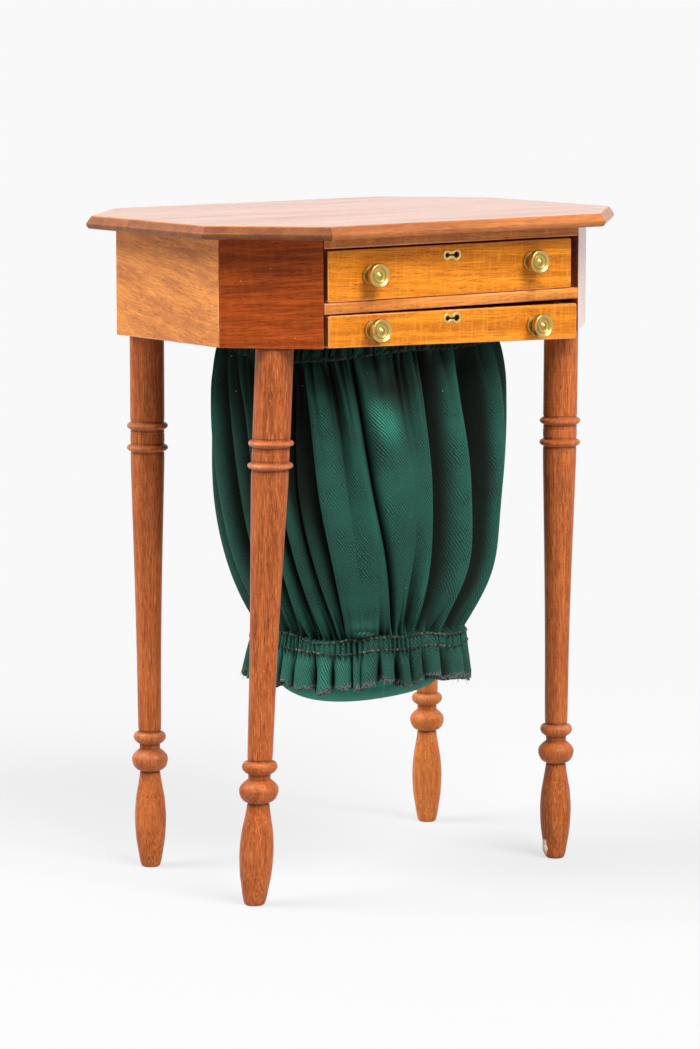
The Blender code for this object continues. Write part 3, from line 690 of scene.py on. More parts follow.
@dataclass(frozen=True)
class Twill:
    """Cotton twill: a diagonal rib of small beads, with a soft bloom where the light grazes it.

    To the eye a deep green that goes nearly black in the folds by painted shade, with a painted highlight on
    lit ridges, dotted with lint. Lengths are in millimetres.
    """

    name: str
    thread: str
    gap: str
    # bloom is the sheen's tint, and also the colour screened over faded patches and over the painted
    # highlight
    bloom: str
    rib: float = 0.24
    bead: float = 0.2
    frayed: str = "8A8C8A"
    # shade is the colour of the painted shade in the folds
    shade: str = "191B17"  # deep in a fold

    SLANT = -34.0  # of the rib, in degrees
    WANDER = 0.35  # how far the rib strays from its line
    BEAD_FLOOR = 0.45  # between two beads, as a share of their height
    PLAIN = 0.45  # the even tone of cloth whose rib is worn away
    CORE = "0C0D0E"  # between the threads of a frayed edge
    LINT = 2.6  # between specks
    LINT_EDGE = (0.034, 0.012)  # as GRAIN_EDGE of the wood
    LINT_TINT = "A6AC9C"
    ROUGHNESS = 0.82
    SHEEN = 0.3  # on open cloth; deep in a fold there is none
    SHEEN_ROUGHNESS = 0.45
    RELIEF = 0.04
    RELIEF_STRENGTH = 0.6

    def ribs(self, put: Adder, flat: Socket) -> Socket:
        """The height of the weave: a sine across the ribs times one along them, both straying a little."""
        stray = put("TexNoise", {"Vector": flat, "Scale": 0.9, "Detail": 2.0}, out="Color")
        wander = put("VectorMath", {0: stray, 3: self.WANDER}, operation="SCALE")
        loose = put("VectorMath", {0: flat, 1: wander}, **PLUS)
        turned = put("Mapping", {"Vector": loose, "Rotation": (0.0, 0.0, np.radians(self.SLANT))})
        across = put("SeparateXYZ", {0: turned}).node.outputs
        waves = []
        for socket, pitch, floor in ((across[0], self.rib, 0.0), (across[1], self.bead, self.BEAD_FLOOR)):
            phase = put("Math", {0: socket, 1: TURN / pitch}, **TIMES)
            wave = put("Math", {0: phase}, operation="SINE")
            waves.append(put("MapRange", {"Value": wave, "From Min": -1.0, "To Min": floor}))
        return put("Math", {0: waves[0], 1: waves[1]}, **TIMES)

    def material(self) -> Material:
        """Makes the material on the flat cloth's own millimetres, so the rib follows the folds.

        Returns:
            The material.
        """
        made, put, shader = blank(self.name)
        flat = put("UVMap", uv_map="cloth")
        # fold carries painted shade, and rubbed a painted highlight
        fold, fray, rubbed = (
            put("Attribute", out="Fac", attribute_name=mark) for mark in ("fold", "fray", "rubbed")
        )
        high = self.ribs(put, flat)
        # The yarn is spun unevenly, and in places the rib is worn away.
        yarn = put("TexNoise", {"Vector": flat, "Scale": 6.5, "Detail": 3.0, "Roughness": 0.7})
        uneven = {"From Min": 0.36, "From Max": 0.64, "To Min": 0.2, "To Max": 1.3}
        spun = put("MapRange", {"Value": yarn, **uneven})
        shown = put("Math", {0: high, 1: spun}, **TIMES)
        shown = put("MapRange", {"Value": shown, "From Min": 0.05, "From Max": 0.75})
        worn = put("TexNoise", {"Vector": flat, "Scale": 0.4, "Detail": 3.0})
        crisp = put("MapRange", {"Value": worn, "From Min": 0.36, "From Max": 0.6, "To Min": 0.3})
        shown = put("Mix", {0: crisp, 2: self.PLAIN, 3: shown})
        # Patches have faded, and a painted highlight brightens the lit swell and the ridge crests along the
        # ribs.
        place = put("TexCoord", out="Object")
        patch = put("TexNoise", {"Vector": place, "Scale": 0.16 / MM, "Detail": 3.0})
        faded_and_highlit = put("MapRange", {"Value": patch, "From Min": 0.45, "From Max": 0.8, "To Max": 0.2})
        ribbed_highlight = put("Math", {0: rubbed, 1: high}, **TIMES)
        faded_and_highlit = put("Math", {0: faded_and_highlit, 1: ribbed_highlight}, use_clamp=True, **PLUS)
        # A raw edge frays in ragged patches to grey tufts.
        ragged = put("TexNoise", {"Vector": flat, "Scale": 3.6, "Detail": 5.0, "Roughness": 0.8})
        ended = put("MapRange", {"Value": ragged, "From Min": 0.35, "From Max": 0.52})
        bare = put("Math", {0: fray, 1: ended}, use_clamp=True, **TIMES)
        tuft = put("MapRange", {"Value": yarn, "From Min": 0.45, "From Max": 0.7})
        tints = {6: linear(self.CORE), 7: linear(self.frayed)}
        ash = put("Mix", {0: tuft, **tints}, **TINTED)
        cell = put("TexVoronoi", {"Vector": flat, "Scale": 1 / self.LINT})
        outer, inner = self.LINT_EDGE
        lint = put("MapRange", {"Value": cell, "From Min": outer, "From Max": inner})
        colour = linear(self.gap)
        # The fold mark mixes in painted shade; the bloom is screened over faded patches and over the painted
        # highlight.
        for factor, tint, blend in (
            (shown, linear(self.thread), "MIX"),
            (faded_and_highlit, linear(self.bloom), "SCREEN"),
            (fold, linear(self.shade), "MIX"),
            (bare, ash, "MIX"),
            (lint, linear(self.LINT_TINT), "MIX"),
        ):
            mixed = {0: factor, 6: colour, 7: tint}
            colour = put("Mix", mixed, blend_type=blend, **TINTED)
        open_cloth = put("MapRange", {"Value": fold, "To Min": self.SHEEN, "To Max": 0.0})
        raised = {"Height": high, "Strength": self.RELIEF_STRENGTH, "Distance": self.RELIEF * MM}
        connect(shader, {
            "Base Color": colour,
            "Roughness": self.ROUGHNESS,
            "Normal": put("Bump", raised),
            "Specular IOR Level": open_cloth,
            "Sheen Weight": open_cloth,
            "Sheen Roughness": self.SHEEN_ROUGHNESS,
            "Sheen Tint": linear(self.bloom),
        })
        return made


@dataclass(frozen=True)
class Yarn:
    """Spun cotton thread: two plies that twist, dull, with a lighter and a darker side."""

    name: str
    light: str
    dark: str
    ply: float = 0.12

    TWIST = (0.6, 0.5, 0.0)
    ROUGHNESS = 0.85
    RELIEF = 0.02
    RELIEF_STRENGTH = 0.5

    def material(self) -> Material:
        """Makes the material from slanting noise and the tone kept with each strand.

        Returns:
            The material.
        """
        made, put, shader = blank(self.name)
        place = put("TexCoord", out="Object")
        twist = put("Mapping", {"Vector": place, "Rotation": self.TWIST})
        plies = put("TexNoise", {"Vector": twist, "Scale": 1 / (self.ply * MM), "Detail": 2.0})
        tone = put("Attribute", out="Fac", attribute_name="tone")
        mixed = put("Math", {0: plies, 1: tone}, **PLUS)
        spread = put("MapRange", {"Value": mixed, "From Min": 0.35, "From Max": 1.1})
        tints = {6: linear(self.dark), 7: linear(self.light)}
        raised = {"Height": plies, "Strength": self.RELIEF_STRENGTH, "Distance": self.RELIEF * MM}
        connect(shader, {
            "Base Color": put("Mix", {0: spread, **tints}, **TINTED),
            "Normal": put("Bump", raised),
            "Roughness": self.ROUGHNESS,
        })
        return made


CASE_WOOD = Wood("case_cherry", light="D88A3C", dark="98501C")
SIDE_WOOD = replace(
    CASE_WOOD, name="side_cherry", light="E09044", dark="A45C34", axis=Axis.Y, tilt=(-10.0, 0.0, 0.0),
    figure=(9.0, 1.3), ripple=(1.5, 0.45), figure_share=0.72, ripple_share=0.5, glow="EE9C44",
)
POST_WOOD = replace(
    CASE_WOOD, name="post_cherry", light="AC4C16", dark="561F08", glow="C06A26", figure=(10.0, 0.5),
    figure_share=0.55, fibre=(2.2, 0.12), pores=(0.6, 0.07), ripple_share=0.1, pore_share=0.75, shine=0.08,
)
FRONT_WOOD = replace(
    CASE_WOOD, name="front_cherry", light="F09428", dark="A45612", glow="F8A230", grime="38200E",
    figure=(17.0, 0.8), ripple=(0.34, 3.0), ripple_share=0.34, figure_share=0.66, end_share=0.95,
    shine=0.08,
)
TOP_WOOD = replace(
    CASE_WOOD, name="top_cherry", light="C0743A", dark="864622", pale="DC985A", figure=(22.0, 1.1),
    fibre=(2.6, 0.16), fleck_share=0.35, ripple_share=0.06, pale_share=0.2, end_share=0.6, roughness=0.36,
    face_polish=True, haze=0.2,
)
LEG_WOOD = replace(
    CASE_WOOD, name="leg_cherry", light="BE642E", dark="6E2E14", glow="DC863C", shine=0.12, axis=Axis.Z,
    figure=(11.0, 0.7), fibre=(2.6, 0.11), pores=(0.7, 0.075), fleck_share=0.55, figure_share=0.5,
    ripple_share=0.06, turning_share=0.1, pore_share=0.75, pale_share=0.4, hollow_share=0.5, haze=0.2,
)
INNER_WOOD = replace(CASE_WOOD, name="inner_cherry", light="C89868", dark="9A6A44", roughness=0.6, coat=0.0)


# Sub-assemblies


@dataclass
class TableTop:
    """The eight-sided top, whose edge slopes out to a nose and rounds back under it."""

    thick: float = 1.2
    slope_run: float = 0.44
    nose: float = 0.5
    undercut: float = 0.35
    corner: float = 0.12
    arris: Pair = (0.112, 0.07)  # run and drop of the rounded edge round the upper face
    cant: float = 8.16  # what a canted corner takes off the outline at the nose
    face_insets: Pair = (1.2, 1.1)  # where the flat of the lower and of the upper face begins
    side_polish: float = 0.05
    # The negative wear below the nose is painted shade under the overhang; the positive wear at the nose is
    # worn edge.
    under_wear: Floats = (-0.6, -0.6, 0.0, 0.0, 0.0, 0.0, 0.5)  # from below to the nose
    slope_wear: Floats = (0.5, 0.0, 0.0, 0.0, 0.0)  # from the nose up
    end_grain: Triple = (2.2, 0.8, 0.7)  # dark on the cants, on the ends, and how much less on the far one

    def outline(self, inset: Array) -> Array:
        """The eight corners for each inset from the nose. A canted side draws in less than a corner does."""
        _, high = span("table_top")
        x, y = high[0] - inset, high[1] - inset
        cant = self.cant - inset * (2 - np.sqrt(2))
        east = np.stack([np.stack([x, -(y - cant)], -1), np.stack([x, y - cant], -1)], -2)
        north = np.stack([np.stack([x - cant, y], -1), np.stack([cant - x, y], -1)], -2)
        return np.concatenate([east, north, -east, -north], -2)

    def edge(self) -> tuple[Array, Array, Array]:
        """The outline of the edge from below: a quarter oval under the nose, a slope, and a rounded arris.

        Returns:
            Inset from the nose, height and wear at each point.
        """
        under, over = np.linspace(0, np.pi / 2, len(self.under_wear)), np.linspace(0, np.pi / 2, 4)
        run = np.linspace(0.05, 0.93, len(self.slope_wear))
        arris_run, arris_drop = self.arris
        slope_rise = self.thick - arris_drop - self.nose
        low_face, high_face = self.face_insets
        arris = self.slope_run + arris_run * (1 - np.cos(over)), self.thick - arris_drop * (1 - np.sin(over))
        stretches = (
            ([low_face], [0.0], [0.0]),
            (self.undercut * (1 - np.sin(under)), self.nose * (1 - np.cos(under)), self.under_wear),
            (self.slope_run * run, self.nose + slope_rise * run, self.slope_wear),
            (*arris, np.ones(len(over))),
            ([high_face], [self.thick], [0.0]),
        )
        return tuple(np.concatenate(column) for column in zip(*stretches))

    def build(self) -> None:
        """Carries the edge's outline round the eight sides, and marks its end grain and its polished face."""
        low, _ = span("table_top")
        inset, rise, worn = self.edge()
        points, out, _ = rounded(self.outline(inset), self.corner)
        on_cant, on_end, less = self.end_grain
        end = (on_cant * np.abs(out[..., 0] * out[..., 1]) + on_end * out[..., 0] ** 2).clip(0, 1)
        end = end * (1 - less * smooth(out[..., 0], 0.1, 0.7))
        side = (rise > 0) & (rise < self.thick - self.arris[1])
        polish = np.where(np.arange(len(rise)) < len(rise) - 2, self.side_polish, 1.0)
        skin = Skin()
        skin.tube(
            Axis.Z.place(points[..., 0], points[..., 1], low[2] + rise[:, None]),
            wear=worn[:, None],
            end_grain=end * side[:, None],
            polish=polish[:, None],
        )
        settle(skin.piece("top_board", TOP_WOOD.material(), crease=None), Body.CASE, Slot.TOP, "table_top")


@dataclass
class Case:
    """Sides, back, canted posts, rails, and the boards inside that the drawers run on."""

    edge: float = 0.09
    post_edge: float = 0.025
    post_foot: float = 0.2  # a post's edges are worn below this and dirty above it
    tenon: float = 0.93  # radius of the socket for a leg
    socket_depth: float = 2.6
    dusty: tuple[str, ...] = ("front_right", "back_right")  # posts with old white wax

    def boards(self) -> None:
        """Makes each flat board from its node's box."""
        rail = replace(CASE_WOOD, light="E49242", dark="A85C22", pale_share=0.4)
        # The top rail is a darker copy of the rail wood: painted shade under the top's overhang.
        top_rail = replace(rail, light="CC7E3C", dark="98501F", shift=(5.0, 3.0, 17.0))
        runner = replace(INNER_WOOD, axis=Axis.Y)
        plan = (
            ("left_side", SIDE_WOOD, Slot.CASE),
            ("right_side", replace(SIDE_WOOD, shift=(40.0, 9.0, 5.0)), Slot.CASE),
            ("back_panel", replace(CASE_WOOD, shift=(0.0, 30.0, 8.0)), Slot.CASE),
            ("top_rail", top_rail, Slot.CASE),
            ("middle_rail", replace(rail, shift=(11.0, 6.0, 23.0)), Slot.CASE),
            ("dust_board", replace(INNER_WOOD, shift=(3.0, 44.0, 2.0)), Slot.INNER),
            ("left_runner", replace(runner, shift=(7.0, 1.0, 4.0)), Slot.INNER),
            ("right_runner", replace(runner, shift=(19.0, 8.0, 4.0)), Slot.INNER),
        )
        for node, wood, slot in plan:
            finish = replace(wood, name=f"{node}_wood").material()
            skin = board_between(*span(node), self.edge, wood.axis)
            settle(skin.piece(f"{node}_board", finish, crease=None), Body.CASE, slot, node)

    def posts(self, legs: Legs) -> None:
        """Makes the three-cornered posts: the long face is the canted corner, and a pit below takes a leg."""
        for number, (node, middle) in enumerate(legs.places().items()):
            low, high = span(f"{node}_post")
            x_far, x_near = (low[0], high[0]) if middle[0] < 0 else (high[0], low[0])
            y_far, y_near = (low[1], high[1]) if middle[1] < 0 else (high[1], low[1])
            corners = anticlockwise(np.array([(x_far, y_near), (x_near, y_far), (x_near, y_near)]))
            pit = Pit(middle, (self.tenon, self.tenon), self.socket_depth)
            skin = prism(corners, low[2], high[2], self.post_edge, Axis.Z, pit)
            rise = skin.points[0][:, 2] - low[2]
            skin.marks[0]["wear"] = np.where(rise > self.post_foot, -1, 0.4) * np.abs(skin.marks[0]["wear"])
            turn = 45.0 if middle[0] * middle[1] > 0 else -45.0
            shift = (13.0 * number, 31.0, 7.0 * number)
            wood = replace(POST_WOOD, name=f"{node}_post_wood", tilt=(0.0, 4.0, turn), shift=shift)
            wood = replace(wood, haze=1.0, coat=1.0) if node in self.dusty else wood
            piece = skin.piece(f"{node}_canted_post", wood.material(), crease=None)
            settle(piece, Body.CASE, Slot.CASE, f"{node}_post")


@dataclass
class Legs:
    """Four turned legs: a vase foot, a bulb and a ring at the ankle, a tapered shaft and a pair of rings."""

    spread: Pair = (16.612, 9.963)
    length: float = 50.47
    tenon: Pair = (0.9, 2.43)  # radius, length
    sides: int = 72
    step: float = 0.05  # between rings of points
    # Height and radius of the plain outline, over which the beads rise
    plain: Pairs = (
        (0.0, 0.74), (0.12, 0.88), (1.5, 1.16), (3.1, 1.38), (4.7, 1.45), (6.3, 1.36), (7.8, 1.12),
        (9.0, 0.95), (9.6, 0.93), (11.7, 0.95), (12.9, 1.06), (20.0, 1.14), (27.5, 1.29),
        (35.0, 1.49), (38.8, 1.58), (42.0, 1.6), (50.2, 1.61), (50.47, 1.52),
    )
    # Foot, crest and top of each bead, its radius, and how full it is below and above its crest
    beads: tuple[Floats, ...] = (
        (9.2, 10.3, 11.25, 1.67, 0.5, 1.1), (11.7, 12.35, 12.85, 1.5, 0.9, 0.45),
        (39.32, 39.62, 39.92, 1.92, 0.65, 0.65), (41.36, 41.66, 41.96, 1.92, 0.65, 0.65),
    )
    # Height and depth of lines cut with the corner of the tool
    lines: Pairs = (
        (9.1, 0.05), (12.95, 0.06), (39.2, 0.05), (40.06, 0.04), (40.95, 0.04), (41.22, 0.05),
        (42.1, 0.05),
    )
    line_width: float = 0.07
    wear_reach: float = 0.5
    crook: Pair = (0.03, 9.0)  # how far a leg sways from its axis, and over what height
    out_of_round: Pair = (0.008, 14.0)  # share of the radius, and the height of its twist
    glue_turn: float = -62.0
    glue_height: float = 1.25
    glue_reach: float = 0.98
    glue_halves: Triple = (0.85, 0.3, 0.34)  # up, out and round the leg
    girths: dict[str, float] = field(default_factory=lambda: {"front_left": 1.06})
    leans: dict[str, Pair] = field(
        default_factory=lambda: {"front_left": (-1.55, 1.2), "front_right": (-0.65, -0.35)}
    )
    rises: dict[str, float] = field(default_factory=lambda: {"front_left": 0.45})  # at mid height
    # A darker copy of the leg wood on the front left leg is painted shade; a paler one on the back right is
    # painted light.
    woods: dict[str, Wood] = field(
        default_factory=lambda: {
            "front_left": replace(LEG_WOOD, light="B65C2A", dark="602810", glow="CC7834"),
            "back_right": replace(LEG_WOOD, light="D67A38", dark="944A22"),
        }
    )

    def places(self) -> dict[str, Pair]:
        """The middle of each leg under the case, by the leg's name."""
        x, y = self.spread
        return {
            f"{end}_{side}": (sx * x, sy * y)
            for side, sx in (("left", -1), ("right", 1))
            for end, sy in (("front", -1), ("back", 1))
        }

    def outline(self) -> tuple[Array, Array]:
        """The turned outline: the plain curve, raised by beads and lowered by cut lines.

        A bead lifts the radius to its own by (1 - t^2)^fullness, t being 0 at its crest and 1 at either foot.
        A line takes off its depth times a bell curve.

        Returns:
            Heights and radii from the floor to the shoulder.
        """
        z = np.arange(0, self.length + self.step / 2, self.step)
        radius = curve_through(z, *np.array(self.plain).T)
        for foot, crest, top, peak, below, above in self.beads:
            t = np.where(z < crest, (crest - z) / (crest - foot), (z - crest) / (top - crest))
            lift = np.clip(1 - t**2, 0, 1) ** np.where(z < crest, below, above)
            radius = radius + (peak - radius) * lift
        for height, depth in self.lines:
            radius = radius - depth * bell(z, height, self.line_width)
        return z, radius

    def build(self) -> None:
        """Turns the outline about each leg's own axis, a little out of round, with the tenon on top."""
        z, radius = self.outline()
        wear = profile_wear(z, radius, self.wear_reach)
        tenon_radius, tenon_length = self.tenon
        angle = np.linspace(0, TURN, self.sides, endpoint=False)
        ring = np.stack([np.cos(angle), np.sin(angle)], -1)
        peg = np.array([self.length, self.length + tenon_length])
        lift = np.clip(1 - z / self.length, 0, 1)[:, None]
        for number, (name, place) in enumerate(self.places().items()):
            crooked, crook_length = self.crook
            sway = crooked * np.sin(z / crook_length + number)[:, None] * lift
            out, twist_length = self.out_of_round
            oval = 1 + out * np.cos(2 * angle + number + z[:, None] / twist_length)
            girth = radius[:, None] * self.girths.get(name, 1.0) * oval
            lean = np.array(self.leans.get(name, (0.0, 0.0)))
            axis = np.array(place) + lean * lift + sway * np.array([1, -1])
            shaft = axis[:, None] + girth[..., None] * ring
            tenon = np.tile(np.array(place) + tenon_radius * ring, (2, 1, 1))
            turned = np.concatenate([shaft, tenon])
            risen = z + self.rises.get(name, 0.0) * np.sin(np.pi * z / self.length)
            grid = Axis.Z.place(turned[..., 0], turned[..., 1], np.concatenate([risen, peg])[:, None])
            skin = Skin()
            skin.tube(grid, wear=np.concatenate([wear, [0, 0]])[:, None])
            wood = self.woods.get(name, LEG_WOOD)
            wood = replace(wood, name=f"{name}_leg_wood", shift=(9.0 * number, 4.0 * number, 13.0 * number))
            settle(skin.piece(f"{name}_turned_leg", wood.material()), Body.CASE, Slot.LEG, f"{name}_leg")
        self.glue()

    def glue(self) -> None:
        """A bead of old glue at the foot of the front right leg: a lumpy egg squeezed against the wood."""
        foot = np.array(self.places()["front_right"]) + self.leans["front_right"]
        out = np.array([*toward(self.glue_turn), 0.0])
        tangent = np.array([-out[1], out[0], 0.0])
        rise = np.array([0.0, 0.0, 1.0])
        along, across, up = egg_rows(14, 20)
        lumps = 1 + 0.18 * np.sin(5 * along + 3 * across) * np.cos(4 * up)
        grid = np.array([*foot, self.glue_height]) + self.glue_reach * out
        for part, half, way in zip((along, across, up), self.glue_halves, (rise, out, tangent)):
            grid = grid + half * (part * lumps)[..., None] * way
        skin = Skin()
        skin.tube(grid[:, ::-1])
        finish = Yarn("dried_glue", light="F0E4D8", dark="CFAE92", ply=0.4).material()
        settle(skin.piece("glue_bead", finish, crease=180), Body.CASE, Slot.LEG)


@dataclass
class BrassWork:
    """Turned knobs and keyhole plates."""

    sides: int = 64
    # Share of the knob's reach in front of the wood, and share of its radius
    knob: Pairs = (
        (-1.0, 0.36), (0.0, 0.36), (0.0, 0.78), (0.05, 0.82), (0.17, 0.82), (0.21, 0.78),
        (0.24, 0.60), (0.42, 0.55), (0.54, 0.62), (0.62, 0.90), (0.66, 0.97), (0.74, 1.0),
        (0.85, 1.0), (0.93, 0.97), (0.97, 0.92), (0.985, 0.86), (0.955, 0.80), (0.90, 0.66),
        (0.895, 0.60), (0.905, 0.56), (0.88, 0.52), (0.855, 0.34), (0.87, 0.26), (0.93, 0.16),
        (0.99, 0.06), (1.0, 0.02),
    )
    knob_size: Pair = (1.6, 1.1)  # reach and radius
    neck: Pair = (0.34, 0.12)  # where it is dark, and its spread, as shares of the reach
    face: float = 0.8  # share of the reach from which a knob's face is hollowed
    # Place and spread of the dark rings in the face, as shares of the radius, and how dark they are
    face_rings: tuple[Triple, ...] = ((0.6, 0.07, 0.6), (0.3, 0.08, 0.4))
    plate_proud: float = 0.06
    plate_thick: float = 0.2
    hole: Triple = (0.28, 0.22, 0.07)  # big end, small end, half of the slot's height
    hole_spread: float = 1.05
    margin: float = 0.25

    def knobs(self, rows: dict[str, tuple[Body, str]]) -> None:
        """Turns a knob at each knob node: the outline, finely divided, carried round the pin.

        Args:
            rows: the body and the front of each row of knobs.
        """
        finish = Brass("turned_brass", bright="CAAA60", tarnish="6A5626", roughness=0.3).material()
        share = np.array(self.knob)
        step = np.linspace(0, len(share) - 1, 5 * (len(share) - 1) + 1)
        reach, radius = (np.interp(step, np.arange(len(share)), column) for column in share.T)
        long, wide = self.knob_size
        walked = np.concatenate([[0], np.cumsum(np.hypot(np.diff(reach) * long, np.diff(radius) * wide))])
        in_face = sum(dark * bell(radius, middle, spread) for middle, spread, dark in self.face_rings)
        grime = -bell(reach, *self.neck) - in_face * (reach > self.face)
        angle = np.linspace(0, TURN, self.sides, endpoint=False)
        for row, (body, front) in rows.items():
            face = span(front)[0][1]
            for side in ("left", "right"):
                node = f"{row}_{side}_knob"
                low, high = span(node)
                middle, size = (low + high) / 2, (high[0] - low[0]) / 2
                out = np.where(reach < 0, (face - high[1]) * -reach, (face - low[1]) * reach)
                ring = size * radius[:, None]
                x, z = middle[0] + ring * np.cos(angle), middle[2] + ring * np.sin(angle)
                points = Axis.Z.place(x, face - out[:, None], z)
                skin = Skin()
                skin.tube(points, wear=grime[:, None], turned=walked[:, None])
                settle(skin.piece(f"{node}_turning", finish, crease=32), body, Slot.BRASS, node)

    def ring(self, margin: float, waist: float) -> Array:
        """A keyhole on its side: a big arc on the right, a small one on the left, a slot or waist between.

        Args:
            margin: how far outside the hole the ring lies.
            waist: half the height where the arcs end.

        Returns:
            Points across and up, anticlockwise.
        """
        arcs = []
        for centre, radius, start in (
            (self.hole_spread / 2, self.hole[0] + margin, -np.pi),
            (-self.hole_spread / 2, self.hole[1] + margin, 0.0),
        ):
            gap = np.arcsin(waist / radius)
            angle = np.linspace(start + gap, start + TURN - gap, 25)
            arcs.append(np.stack([centre + radius * np.cos(angle), radius * np.sin(angle)], -1))
        return np.concatenate(arcs)

    def plates(self, rows: dict[str, tuple[Body, str]]) -> None:
        """Makes each keyhole plate: the ring of the hole and of the rim, joined by a rounded face and a back.

        Args:
            rows: the body and the front of each plate.
        """
        finish = Brass("worn_brass", bright="D8B26C", tarnish="846C36", roughness=0.4).material()
        waist = self.hole[1] + self.margin / 2
        slot, rim, proud, back = self.hole[2], self.margin, self.plate_proud, -self.plate_thick
        # Margin and half height of each ring, how far it stands out, and its wear
        levels = (
            (0.0, slot, back, -1.0),
            (0.0, slot, 0.4 * proud, -0.8),
            (0.05, slot + 0.05, proud, 0.0),
            (rim - 0.07, waist - 0.07, proud, 0.0),
            (rim - 0.02, waist - 0.02, 0.75 * proud, 0.0),
            (rim, waist, 0.3 * proud, -0.3),
            (rim, waist, back, -1.0),
        )
        rings = np.stack([self.ring(margin, height) for margin, height, _, _ in levels])
        out, wear = np.array(levels)[:, 2:, None].swapaxes(0, 1)
        outer = rings[-1, :, 0]
        for row, (body, front) in rows.items():
            node = f"{row}_keyhole_plate"
            middle = sum(span(node)) / 2
            x = middle[0] - (outer.min() + outer.max()) / 2 + rings[..., 0]
            points = Axis.Z.place(x, span(front)[0][1] - out, middle[2] + rings[..., 1])
            skin = Skin()
            skin.grid(points[:, ::-1], closed=True, wear=wear)
            settle(skin.piece(f"{node}_brass", finish, crease=50), body, Slot.BRASS, node)


@dataclass
class Drawers:
    """The upper drawer and the sliding frame: two figured fronts and the plain boards behind them."""

    edge: float = 0.1
    pit_halves: Pair = (0.33, 0.82)
    pit_depth: float = 0.4
    near_end: float = 0.3  # how far from an end a corner of a front may be
    end_skin: float = 0.02  # what counts as the end of a front
    end_darks: Pair = (0.8, 0.65)  # of the end grain, on the upper and on the lower front

    def corners(self, frame: dict, node: str) -> Array:
        """The four corners of a front, up and across, from the points at either end of its node."""
        mesh = frame["nodes"][node].data
        points = np.zeros(len(mesh.vertices) * 3)
        mesh.vertices.foreach_get("co", points)
        points = points.reshape(-1, 3) / MM
        ends = []
        for end in (points[:, 0].min(), points[:, 0].max()):
            near = points[np.abs(points[:, 0] - end) < self.near_end]
            ends.append((end, near[:, 2].min(), near[:, 2].max()))
        (left, left_low, left_high), (right, right_low, right_high) = ends
        return np.array([(left_low, left), (left_high, left), (right_high, right), (right_low, right)])

    def fronts(self, frame: dict) -> None:
        """Makes each front as a prism from its face back, with the pit behind its keyhole."""
        plan = (
            (Body.DRAWER, "upper_drawer_front", "upper_keyhole_plate"),
            (Body.SLIDE, "bag_slide_front", "lower_keyhole_plate"),
        )
        for number, (body, node, plate) in enumerate(plan):
            low, high = span(node)
            middle = sum(span(plate)) / 2
            pit = Pit((middle[2], middle[0]), self.pit_halves, self.pit_depth)
            skin = prism(anticlockwise(self.corners(frame, node)), low[1], high[1], self.edge, Axis.Y, pit)
            across = skin.points[0][:, 0]
            ends = np.minimum(across - low[0], high[0] - across) < self.end_skin
            # The pit behind the keyhole is marked as end grain and darkened: painted shade in the hole. The
            # ends are real end grain.
            shaded_pit = skin.marks[0]["wear"] <= -1
            skin.marks[0]["end_grain"] = np.maximum(shaded_pit, self.end_darks[number] * ends)
            shift = (8.0, 3.0, 6.0 + 27.0 * number)
            wood = replace(FRONT_WOOD, name=f"{node}_wood", tilt=(0.0, -1.5, 0.0), shift=shift)
            settle(skin.piece(f"{node}_board", wood.material(), crease=None), body, Slot.FRONT, node)

    def boards(self) -> None:
        """Makes the boards behind the fronts from their nodes' boxes."""
        for body, axis, nodes in (
            (Body.DRAWER, Axis.Y, ("upper_drawer_left_side", "upper_drawer_right_side")),
            (Body.DRAWER, Axis.X, ("upper_drawer_back", "upper_drawer_bottom")),
            (Body.SLIDE, Axis.Y, ("bag_slide_left_rail", "bag_slide_right_rail")),
            (Body.SLIDE, Axis.X, ("bag_slide_back_rail",)),
        ):
            for number, node in enumerate(nodes):
                shift = (12.0 * number + 3.0, 7.0 * number, 21.0)
                wood = replace(INNER_WOOD, name=f"{node}_wood", axis=axis, shift=shift)
                skin = board_between(*span(node), self.edge, axis)
                piece = skin.piece(f"{node}_plain_board", wood.material(), crease=None)
                settle(piece, body, Slot.INNER, node)

    def bag_board(self, frame: dict) -> None:
        """Gives the board that the bag hangs from its finish. Its own shape is right as it is."""
        node = frame["nodes"]["bag_board"]
        node.data.materials.clear()
        wood = replace(INNER_WOOD, name="bag_board_wood", shift=(2.0, 5.0, 33.0))
        node.data.materials.append(wood.material())


# The bag. A turn is an angle in degrees round it, from the side that faces the viewpoint.


def bunched(share: Array, amount: float) -> Array:
    """Draws even shares of the way across a fold towards its two ends, by a sine."""
    return share - amount * np.sin(TURN * share)


def rolled(share: Array, crest: Array, power: float, fullness: float) -> tuple[Array, Array]:
    """A roll of cloth between two grooves, which falls by 1 - (1 - |2s - 1|^power)^fullness.

    Args:
        share: the way across, from 0 to 1.
        crest: the share at which the ridge is.
        power: how flat the roll is on top.
        fullness: how steeply it meets its grooves.

    Returns:
        s, the share raised to the power that takes the crest to 1/2, and how far the cloth has fallen.
    """
    bent = share ** (np.log(0.5) / np.log(crest))
    return bent, 1 - (1 - np.abs(2 * bent - 1) ** power) ** fullness


@dataclass(frozen=True)
class Spot:
    """A bell-shaped place on the bag: where it is, how far it spreads round and up, and how strong it is."""

    turn: float
    height: float
    spread: Pair
    amount: float
    slant: float = 0.0  # degrees that its middle moves on for each millimetre down

    def at(self, turn: Array, height: Array) -> Array:
        """Its amount times a bell curve of the distance round and one of the distance up."""
        middle = self.turn + self.slant * (self.height - height)
        return self.amount * bell(turn, middle, self.spread[0]) * bell(height, self.height, self.spread[1])


@dataclass(frozen=True)
class Groove:
    """A groove down the bag: its turns at Tube.turn_levels and its depths at Tube.depth_levels.

    crest is where the ridge after the groove is highest, as a share of the way to the next one, and sunk is
    how far that ridge lies inside the plan.
    """

    turns: Floats
    depths: Triple
    crest: float = 0.5
    sunk: Triple = (0.0, 0.0, 0.0)


